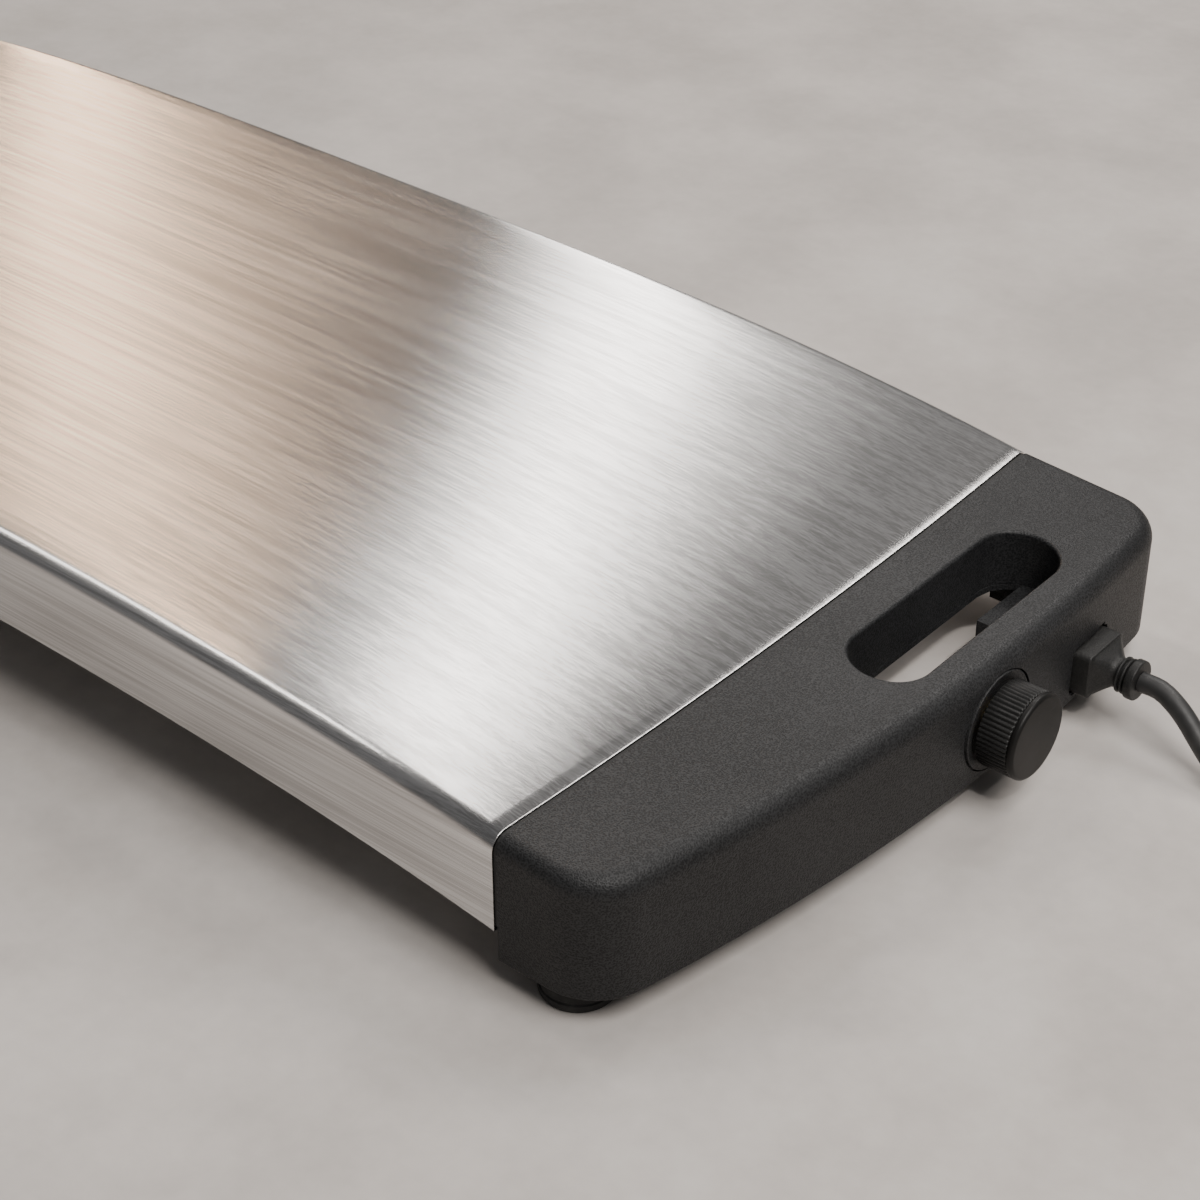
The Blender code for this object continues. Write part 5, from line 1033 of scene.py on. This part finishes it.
def screw_bosses():
    """Bosses for the handle screws and the foot screws, and then their bores."""
    height = arch(HALF_LENGTH - SPIGOT_LENGTH) - END_SCREW_DROP
    top = handle_top(FOOT_U) - HANDLE_TOP_WALL / 2
    joins, cuts = [], []
    for v in (-END_SCREW_V, END_SCREW_V):
        end = junction_bow(v) + JOINT_GAP + HANDLE_WALL / 2
        place = (0, v, height)
        joins.append(rod(BOSS_RADIUS, -SPIGOT_LENGTH, end, 16, "X", place))
        cuts.append(rod(SCREW_BORE, -2 * SPIGOT_LENGTH, HAIRLINE, 12, "X", place))
    for v in (-FOOT_V, FOOT_V):
        place = (FOOT_U, v, 0)
        joins.append(rod(BOSS_RADIUS, BASE_TOP + HAIRLINE, top, 16, centre=place))
        cuts.append(rod(SCREW_BORE, 0, BASE_TOP + FOOT_SCREW_DEPTH, 12, centre=place))
    return [("UNION", boss) for boss in joins], [("DIFFERENCE", bore) for bore in cuts]


def control_seat():
    """Pad behind the bezel ring, its shallow pocket and the hole for the bushing."""
    radius = BEZEL_RADIUS + BEZEL_GROOVE
    place = (0, KNOB_V, KNOB_Z)
    out = handle_reach(KNOB_V) + OVERRUN
    pad = combine(
        rod(radius + BEZEL_PAD_MARGIN, PAD_FACE, BEZEL_FLOOR + HAIRLINE, 96, "X", place),
        ("DIFFERENCE", block((PAD_FACE - OVERRUN, -0.02, 0), (out, 0.09, BASE_TOP + HAIRLINE))),
    )
    pocket = rod(radius, BEZEL_FLOOR, out, 96, "X", place)
    bore = rod(BUSHING_BORE, PAD_FACE - OVERRUN, out, 32, "X", place)
    return [("UNION", pad)], [("DIFFERENCE", pocket), ("DIFFERENCE", bore)]


def inlet_seat():
    """Thick frame round the connector's opening, and the opening with its keying notch."""
    half_width = INLET_OPENING_WIDTH / 2
    half_height = INLET_OPENING_HEIGHT / 2
    top = INLET_Z + half_height + INLET_NOTCH_HEIGHT
    side = half_width + INLET_FRAME_MARGIN
    start = INLET_FACE - OVERRUN
    face = handle_reach(INLET_V)
    frame_block = block(
        (INLET_FACE, INLET_V - side, BASE_TOP + HAIRLINE),
        (face - HANDLE_WALL / 2, INLET_V + side, top + INLET_FRAME_ABOVE),
    )
    outline = rounded_rectangle(half_width, half_height, INLET_OPENING_CORNER, 8)
    rings = []
    for u, grow in ((start, 0), (face - 0.0012, 0), (face - 0.0004, 0.0001), (face + 0.0004, 0.0008)):
        wider, higher = 1 + grow / half_width, 1 + grow / half_height
        rings.append([(u, INLET_V + y * wider, INLET_Z + z * higher) for y, z in outline])
    rings.append([(face + OVERRUN, v, z) for _, v, z in rings[-1]])
    notch_side = INLET_V + half_width - INLET_OPENING_CORNER
    notch = block((start, notch_side - INLET_NOTCH_WIDTH, INLET_Z), (face + OVERRUN, notch_side, top))
    opening = combine(solid_through(rings), ("UNION", notch))
    return [("UNION", frame_block)], [("DIFFERENCE", opening)]


def wire_passages():
    """Holes through the inner wall for the wires and the earth wire."""
    reach = JUNCTION_BOW + JOINT_GAP + HANDLE_WALL + OVERRUN
    middle = END_HEIGHT - WIRE_HOLE_DROP
    wires = block(
        (WIRE_HOLE_START, WIRE_HOLE_FRONT, middle - WIRE_HOLE_HALF_HEIGHT),
        (reach, WIRE_HOLE_BACK, middle + WIRE_HOLE_HALF_HEIGHT),
    )
    place = (0, EARTH_HOLE_V, END_HEIGHT - EARTH_HOLE_DROP)
    earth = rod(EARTH_HOLE_RADIUS, -OVERRUN, 2 * OVERRUN, 12, "X", place)
    return [("DIFFERENCE", wires), ("DIFFERENCE", earth)]


def make_handle(side, material, end, mirrored):
    """One handle moulding; the left one is mirrored and has no control and no inlet."""
    joins = [("UNION", spigot()), ("UNION", slot_collar())]
    reach = JUNCTION_BOW + JOINT_GAP + HANDLE_WALL + HAIRLINE
    doorway = block((-OVERRUN, RECESS_FRONT, 0), (reach, RECESS_BACK, END_HEIGHT - SKIRT_HEIGHT))
    cuts = [("DIFFERENCE", slot_opening()), ("DIFFERENCE", doorway)]
    details = [screw_bosses()]
    if not mirrored:
        details += [control_seat(), inlet_seat(), ([], wire_passages())]
    for more_joins, more_cuts in details:
        joins += more_joins
        cuts += more_cuts
    solid = combine(handle_form(), ("DIFFERENCE", handle_hollow()), *joins, *cuts)
    made = piece(
        f"{side}_handle", solid, material, "tray", f"{side}_handle_shell",
        (end, 0, 0), mirrored=mirrored, crease=30,
    )
    weight_normals(made)
    return made


def make_foot(name, material, end, side, v):
    """Round rubber foot with a rounded tread edge and a recess for its screw."""
    inner = FOOT_RADIUS - FOOT_TREAD_EDGE
    profile = [(FOOT_RECESS_RADIUS, 0)]
    profile += arc_profile((inner, FOOT_TREAD_EDGE), FOOT_TREAD_EDGE, -90, 0, 6)
    for inset, height in (
        (0.0002, 0.0030), (0.0007, 0.0034), (0.0007, 0.0040), (0.0004, 0.0044),
        (0.0010, FOOT_HEIGHT - 0.0004),
    ):
        profile.append((FOOT_RADIUS - inset, height))
    profile += [(inner, FOOT_HEIGHT), (SCREW_BORE, FOOT_HEIGHT), (SCREW_BORE, FOOT_RECESS_DEPTH)]
    profile += [(FOOT_RECESS_RADIUS, FOOT_RECESS_DEPTH)]
    at = (end + side * FOOT_U, v, 0)
    return piece(f"{name}_tread", turned(profile, 72), material, "tray", name, at)


# Knob and bezel ring

def make_bezel(material):
    """Lightly dished ring with rounded edges, let into the handle's face."""
    back = BEZEL_FLOOR + HAIRLINE
    profile = [(BEZEL_BORE, back), (BEZEL_RADIUS, back)]
    profile += arc_profile((BEZEL_RADIUS - 0.0004, BEZEL_FRONT - 0.0004), 0.0004, 0, 80, 5)
    rim = BEZEL_RADIUS - 0.0005
    inner = BEZEL_BORE + 0.0006
    for index in range(9):
        share = index / 8
        dish = BEZEL_DISH * share ** 0.8
        profile.append((rim + (inner - rim) * share, BEZEL_FRONT - dish))
    low = BEZEL_FRONT - BEZEL_DISH
    profile += arc_profile((BEZEL_BORE + 0.0004, low - 0.0005), 0.0004, 100, 180, 4)
    solid = turned(profile, 128, "X")
    at = (RIGHT_END, KNOB_V, KNOB_Z)
    return piece("bezel", solid, material, "tray", "bezel_ring", at)


def rib_reach(angle, lift):
    """Radius of the knob's ribbed side: rounded ribs with narrow valleys."""
    wave = 0.5 + 0.5 * math.cos(angle * KNOB_RIBS)
    return KNOB_RADIUS - KNOB_RIB_HEIGHT * (1 - lift * wave ** 0.7)


def make_knob(material):
    """Hollow knob with fine ribs, a hub for the shaft and a seat for its cap."""
    count = KNOB_RIBS * 10
    profile = [(KNOB_BACK, 0.0, -0.0003), (KNOB_BACK + 0.0002, 0.35, 0), (KNOB_BACK + 0.0006, 1, 0)]
    profile += [(KNOB_FRONT - 0.0008, 1, 0), (KNOB_FRONT - 0.0004, 0.75, 0)]
    profile += [(KNOB_FRONT - 0.0001, 0.1, -0.0001), (KNOB_FRONT, 0, -0.0005)]
    rings = []
    for x, lift, sunk in profile:
        ring = []
        for index in range(count):
            angle = 2 * math.pi * index / count
            reach = rib_reach(angle, lift) + sunk
            ring.append((x, reach * math.cos(angle), reach * math.sin(angle)))
        rings.append(ring)
    wall = KNOB_RADIUS - KNOB_RIB_HEIGHT - KNOB_WALL
    web = KNOB_FRONT - KNOB_WALL - CAP_SEAT_DEPTH
    start = KNOB_BACK - OVERRUN
    section = [(KNOB_HUB_RADIUS, start), (wall, start), (wall, web), (KNOB_HUB_RADIUS, web)]
    seat = KNOB_FRONT - CAP_SEAT_DEPTH
    solid = combine(
        solid_through(rings),
        ("DIFFERENCE", turned(section, 48, "X")),
        ("DIFFERENCE", rod(SHAFT_BORE, start, KNOB_BACK + SHAFT_BORE_DEPTH, 32, "X")),
        ("DIFFERENCE", rod(CAP_STUB_RADIUS + HAIRLINE, seat, KNOB_FRONT + OVERRUN, 48, "X")),
    )
    at = (RIGHT_END, KNOB_V, KNOB_Z)
    return piece("knob", solid, material, "control", "control_knob", at, crease=50)


def make_cap(material):
    """Smooth cap in front of the knob, chamfered, with a barely domed face."""
    side = KNOB_RADIUS
    stub = KNOB_FRONT - CAP_STUB_LENGTH
    rim = side - CAP_CHAMFER
    profile = [(0, stub), (CAP_STUB_RADIUS, stub), (CAP_STUB_RADIUS, CAP_BACK)]
    profile += arc_profile((side - 0.0003, CAP_BACK + 0.0003), 0.0003, -90, 0, 4)
    for radius, sunk in (
        (side, CAP_CHAMFER + 0.0003), (side - 0.0001, CAP_CHAMFER), (rim + 0.0001, 0.0002),
        (rim - 0.0002, 0.00008), (rim - 0.0008, 0.00005), (side * 0.5, 0.00001), (0, 0),
    ):
        profile.append((radius, CAP_FRONT - sunk))
    at = (RIGHT_END, KNOB_V, KNOB_Z)
    return piece("cap", turned(profile, 160, "X"), material, "control", "knob_cap", at)


# The finishes

def make_brushed_steel():
    """Stainless sheet brushed along X: long fine scratches, uneven in gloss."""
    steel = Finish("brushed_steel", metallic=1.0, anisotropic=0.95)
    broad = steel.cloud(1.0, 2.0, (5, 240, 240))
    fine = steel.cloud(1.0, 2.0, (11, 1300, 1300))
    hair = steel.cloud(1.0, 1.0, (22, 3600, 3600))
    smudge = steel.cloud(9.0, 3.0)
    streak = broad * 0.35 + fine * 0.40 + hair * 0.25
    color = steel.blend(streak.between(0.40, 0.60), (0.47, 0.46, 0.45), (0.70, 0.69, 0.68))
    gloss = 0.165 + 0.04 * streak + 0.02 * smudge.between(0.45, 0.75)
    scratches = steel.relief(fine * 0.4 + hair * 0.6, 0.00002, 0.12)
    return steel.coat(base_color=color, roughness=gloss, normal=scratches)


def make_sheet_steel():
    """Plain galvanised sheet with faint spangle and rolling marks."""
    sheet = Finish("sheet_steel", metallic=1.0)
    spangle = sheet.grains(180.0, "F1")
    rolled = sheet.cloud(1.0, 2.0, (20, 700, 700))
    share = spangle.between(0.1, 0.8) * 0.6 + rolled * 0.4
    color = sheet.blend(share, (0.40, 0.41, 0.42), (0.56, 0.57, 0.58))
    marks = sheet.relief(rolled, 0.00003, 0.4)
    return sheet.coat(base_color=color, roughness=0.36 + 0.16 * rolled, normal=marks)


def make_insulation():
    """Matted mineral fibre with loose threads."""
    fibre = Finish("insulation", roughness=0.95)
    thread = fibre.cloud(420.0, 6.0, (1, 2.2, 1), 0.7)
    tuft = fibre.cloud(60.0, 3.0)
    share = thread.between(0.35, 0.7) * 0.7 + tuft * 0.3
    color = fibre.blend(share, (0.62, 0.59, 0.50), (0.86, 0.84, 0.77))
    return fibre.coat(base_color=color, normal=fibre.relief(thread + tuft, 0.0004, 0.8))


def make_moulded_plastic(name, dark, light, grain_size, depth, gloss, speck=0.0):
    """Moulded plastic with a spark-eroded grain, slightly uneven in colour."""
    plastic = Finish(name, specular_ior_level=0.27)
    grain = plastic.grains(1 / grain_size, "SMOOTH_F1")
    second = plastic.cloud(0.6 / grain_size, 2.0)
    wash = plastic.cloud(22.0, 3.0)
    tops = grain.between(0.15, 0.65)
    share = wash * 0.35 + tops * 0.35 + second * 0.3
    color = plastic.blend(share.between(0.25, 0.8), dark, light)
    height = tops * 0.65 + second * 0.5
    roughness = gloss + 0.10 * second - speck * tops
    return plastic.coat(base_color=color, roughness=roughness, normal=plastic.relief(height, depth, 0.9))


def make_knob_face():
    """Satin moulded cap with a very fine grain and faint handling marks."""
    face = Finish("knob_face", specular_ior_level=0.25)
    grain = face.cloud(2600.0, 2.0)
    marks = face.cloud(1.0, 3.0, (60, 160, 700))
    wash = face.cloud(60.0, 3.0)
    color = face.blend(wash * 0.6 + grain * 0.4, (0.004, 0.0038, 0.0035), (0.007, 0.0066, 0.0061))
    gloss = 0.40 + 0.10 * wash - 0.08 * marks.between(0.62, 0.8)
    return face.coat(base_color=color, roughness=gloss, normal=face.relief(grain, 0.00003, 0.5))


def make_cord_sheath():
    """Extruded cord sheath: a soft sheen with faint drag marks."""
    sheath = Finish("cord_sheath", sheen_weight=0.05)
    drag = sheath.cloud(500.0, 3.0)
    scuff = sheath.cloud(70.0, 4.0)
    color = sheath.blend(scuff.between(0.4, 0.8), (0.020, 0.020, 0.020), (0.045, 0.044, 0.043))
    gloss = 0.36 + 0.14 * drag + 0.12 * scuff
    return sheath.coat(base_color=color, roughness=gloss, normal=sheath.relief(drag, 0.00004, 0.5))


def make_board_green():
    """Circuit board lacquer over faint copper tracks."""
    board = Finish("board_green", coat_roughness=0.15)
    side = board.cloud(70.0, 1.0).between(0.45, 0.5)
    track = (board.bands(90.0, "X") * side + board.bands(60.0, "Y") * (1 - side)).between(0.75, 0.85)
    color = board.blend(track, (0.018, 0.11, 0.045), (0.05, 0.24, 0.09))
    ridges = board.relief(track, 0.00005, 0.6)
    return board.coat(base_color=color, roughness=0.42 - 0.1 * track, coat_weight=0.3, normal=ridges)


def make_strap_weave():
    """Flat woven strap: ribs across, threads along, a napped face."""
    weave = Finish("strap_weave", sheen_weight=0.3, sheen_roughness=0.5)
    nap = weave.cloud(1500.0, 4.0)
    height = weave.bands(420.0, "Z") * 0.4 + weave.bands(380.0, "DIAGONAL") * 0.4 + nap * 0.4
    color = weave.blend(height.between(0.3, 0.9), (0.012, 0.012, 0.012), (0.05, 0.05, 0.05))
    threads = weave.relief(height, 0.0002, 0.8)
    return weave.coat(base_color=color, roughness=0.8 + 0.15 * nap, normal=threads)


def make_earth_wire():
    """Wire insulation with the earth wire's two colours round it."""
    wire = Finish("wire_earth")
    bloom = wire.cloud(600.0, 3.0)
    color = wire.blend(wire.bands(180.0, "DIAGONAL").between(0.45, 0.55), EARTH_GREEN, EARTH_YELLOW)
    sheen = wire.relief(bloom, 0.00002, 0.4)
    return wire.coat(base_color=color, roughness=0.36 + 0.15 * bloom, normal=sheen)


def make_grained(name, colors, wash, grain, gloss, relief, limits=None, by_grain=False, metallic=0.0):
    """A finish whose colour follows a wash and whose relief follows a grain; wash and grain
    are clouds, gloss is the least roughness and what the wash or the grain adds to it."""
    made = Finish(name, metallic=metallic)
    wash = made.cloud(*wash)
    grain = made.cloud(*grain) if grain else wash
    color = made.blend(wash.between(*limits) if limits else wash, *colors)
    least, gain = gloss
    roughness = least + gain * (grain if by_grain else wash)
    return made.coat(base_color=color, roughness=roughness, normal=made.relief(grain, *relief))


EARTH_GREEN = (0.10, 0.36, 0.05)
EARTH_YELLOW = (0.72, 0.66, 0.08)

# Moulded plastics: dark, light, grain size, grain depth, least roughness, gloss of the specks
PLASTICS = {
    "charcoal_plastic": (
        (0.005, 0.0052, 0.0056), (0.026, 0.0266, 0.0277), 0.00060, 0.00012, 0.50, 0.10,
    ),
    "black_plastic": ((0.010, 0.010, 0.010), (0.020, 0.020, 0.0195), 0.00040, 0.00004, 0.36),
    "lead_plastic": ((0.012, 0.012, 0.012), (0.024, 0.024, 0.023), 0.00050, 0.00006, 0.40),
}

# Finishes of the hidden and the small pieces, as make_grained takes them
ROLLED_GRAIN = (1.0, 2.0, (30, 900, 900))
TURNED_GRAIN = (1.0, 2.0, (1600, 300, 1600))
GRAINED = {
    "aluminium": dict(
        colors=((0.66, 0.67, 0.68), (0.78, 0.79, 0.80)), wash=(40.0,), grain=ROLLED_GRAIN,
        gloss=(0.30, 0.2), relief=(0.00002, 0.5), by_grain=True, metallic=1.0,
    ),
    "element_sleeve": dict(
        colors=((0.42, 0.15, 0.08), (0.20, 0.08, 0.05)), wash=(60.0, 4.0), grain=(2500.0, 2.0),
        gloss=(0.5, 0.25), relief=(0.00005, 0.5), limits=(0.35, 0.7),
    ),
    "soft_seal": dict(
        colors=((0.006, 0.006, 0.006), (0.016, 0.016, 0.015)), wash=(300.0, 3.0), grain=None,
        gloss=(0.6, 0.2), relief=(0.00004, 0.4),
    ),
    "foot_rubber": dict(
        colors=((0.010, 0.010, 0.010), (0.030, 0.029, 0.028)), wash=(220.0, 4.0),
        grain=(3000.0, 2.0), gloss=(0.62, 0.2), relief=(0.00004, 0.5), limits=(0.45, 0.8),
    ),
    "component": dict(
        colors=((0.07, 0.07, 0.08), (0.13, 0.13, 0.14)), wash=(90.0, 3.0), grain=(1600.0, 3.0),
        gloss=(0.45, 0.15), relief=(0.00003, 0.5), by_grain=True,
    ),
    "screw_steel": dict(
        colors=((0.60, 0.60, 0.61), (0.42, 0.42, 0.43)), wash=(260.0, 3.0), grain=TURNED_GRAIN,
        gloss=(0.26, 0.15), relief=(0.00002, 0.5), limits=(0.35, 0.75), metallic=1.0,
    ),
    "brass": dict(
        colors=((0.83, 0.64, 0.33), (0.62, 0.45, 0.20)), wash=(260.0, 3.0), grain=TURNED_GRAIN,
        gloss=(0.24, 0.15), relief=(0.00002, 0.5), limits=(0.35, 0.75), metallic=1.0,
    ),
    "wire_blue": dict(
        colors=((0.03, 0.09, 0.38), (0.05, 0.13, 0.48)), wash=(600.0, 3.0), grain=None,
        gloss=(0.36, 0.15), relief=(0.00002, 0.4),
    ),
    "wire_red": dict(
        colors=((0.36, 0.03, 0.02), (0.48, 0.05, 0.035)), wash=(600.0, 3.0), grain=None,
        gloss=(0.36, 0.15), relief=(0.00002, 0.4),
    ),
}


def make_finishes():
    """Every finish by its name."""
    finishes = {
        "brushed_steel": make_brushed_steel(),
        "sheet_steel": make_sheet_steel(),
        "insulation": make_insulation(),
        "knob_face": make_knob_face(),
        "cord_sheath": make_cord_sheath(),
        "board_green": make_board_green(),
        "wire_earth": make_earth_wire(),
        "strap_weave": make_strap_weave(),
    }
    for name, values in PLASTICS.items():
        finishes[name] = make_moulded_plastic(name, *values)
    for name, values in GRAINED.items():
        finishes[name] = make_grained(name, **values)
    return finishes


# Nodes that keep their own solid and take a finish
NODE_FINISHES = {
    "sheet_steel": ("base_pan", "rib_left", "rib_middle", "rib_right", "left_end_plate", "right_end_plate"),
    "aluminium": ("heat_spreader", "heat_sink", "control_shaft"),
    "element_sleeve": ("heating_element",),
    "charcoal_plastic": ("left_handle_base", "right_handle_base"),
    "soft_seal": ("left_seal", "right_seal"),
    "component": ("rotary_control", "terminal_block", "thermal_cutoff", "temperature_sensor"),
    "board_green": ("control_board",),
    "black_plastic": ("inlet_socket",),
    "brass": (
        "control_nut", "inlet_neutral_pin", "inlet_live_pin", "inlet_earth_pin",
        "plug_neutral_pin", "plug_live_pin", "plug_earth_pin",
    ),
    "wire_blue": ("neutral_wire", "control_wire"),
    "wire_red": ("live_wire", "front_heater_wire", "back_heater_wire", "sensor_wire"),
    "wire_earth": ("earth_wire",),
    "screw_steel": tuple(
        f"{side}_{row}_{kind}_screw"
        for side in ("left", "right") for row in ("front", "back") for kind in ("handle", "foot")
    ),
}


def finish_nodes(finishes):
    for name, nodes in NODE_FINISHES.items():
        for node in nodes:
            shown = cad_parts[node]
            for place in shown.material_slots:
                place.material = finishes[name]


# Floor and light

def make_floor():
    """Plain pale floor, faintly mottled."""
    stone = Finish("floor", specular_ior_level=0.3)
    mottle = stone.cloud(9.0, 6.0)
    fine = stone.cloud(130.0, 4.0)
    share = mottle.between(0.3, 0.7) * 0.6 + fine * 0.4
    color = stone.blend(share, (0.43, 0.398, 0.37), (0.64, 0.603, 0.571))
    mesh = bpy.data.meshes.new("floor")
    size = FLOOR_HALF
    corners = [(-size, -size, 0), (size, -size, 0), (size, size, 0), (-size, size, 0)]
    mesh.from_pydata(corners, [], [(0, 1, 2, 3)])
    mesh.materials.append(stone.coat(base_color=color, roughness=0.75 + 0.1 * fine))
    put("floor", mesh)


def add_lamp(name, kind, watts, color, lit, towards, distance):
    """A lamp that shines on a point from a direction; returns its light for further settings."""
    light = bpy.data.lights.new(name, kind)
    light.energy = watts
    light.color = color
    lamp = put(name, light)
    lamp.location = Vector(lit) + towards * distance
    lamp.rotation_mode = "QUATERNION"
    lamp.rotation_quaternion = towards.to_track_quat("Z", "Y")
    return light


def make_light():
    """The studio's soft boxes, a narrow lamp that falls through the finger slot, and the room."""
    for name, (azimuth, elevation, distance, width, height, watts, color) in SOFTBOXES.items():
        a, e = math.radians(azimuth), math.radians(elevation)
        towards = Vector((math.cos(a) * math.cos(e), math.sin(a) * math.cos(e), math.sin(e)))
        light = add_lamp(name, "AREA", watts, color, LIT_POINT, towards, distance)
        light.shape = "RECTANGLE"
        light.size = width
        light.size_y = height
    slot = (RIGHT_END + SLOT_U, SLOT_V, END_HEIGHT)
    towards = Vector(SLOT_LIGHT_TOWARDS).normalized()
    light = add_lamp(
        "slot_light", "SPOT", SLOT_LIGHT_WATTS, PLAIN_LIGHT, slot, towards, SLOT_LIGHT_DISTANCE
    )
    light.spot_size = SLOT_LIGHT_CONE
    light.spot_blend = 0.5
    light.shadow_soft_size = 0.05
    world = bpy.data.worlds.new("room")
    world.use_nodes = True
    backdrop = world.node_tree.nodes["Background"]
    backdrop.inputs["Color"].default_value = ROOM_COLOR
    backdrop.inputs["Strength"].default_value = ROOM_STRENGTH
    bpy.context.scene.world = world


# The scene

make_camera()
finishes = make_finishes()
make_lead(finishes)
make_steel_top(finishes["brushed_steel"])
make_batt(finishes["insulation"])
make_handle("right", finishes["charcoal_plastic"], RIGHT_END, False)
make_handle("left", finishes["charcoal_plastic"], LEFT_END, True)
for side_name, end, side in (("left", LEFT_END, -1), ("right", RIGHT_END, 1)):
    for row_name, v in (("front", -FOOT_V), ("back", FOOT_V)):
        make_foot(f"{side_name}_{row_name}_foot", finishes["foot_rubber"], end, side, v)
make_bezel(finishes["charcoal_plastic"])
make_knob(finishes["black_plastic"])
make_cap(finishes["knob_face"])
finish_nodes(finishes)
make_floor()
make_light()
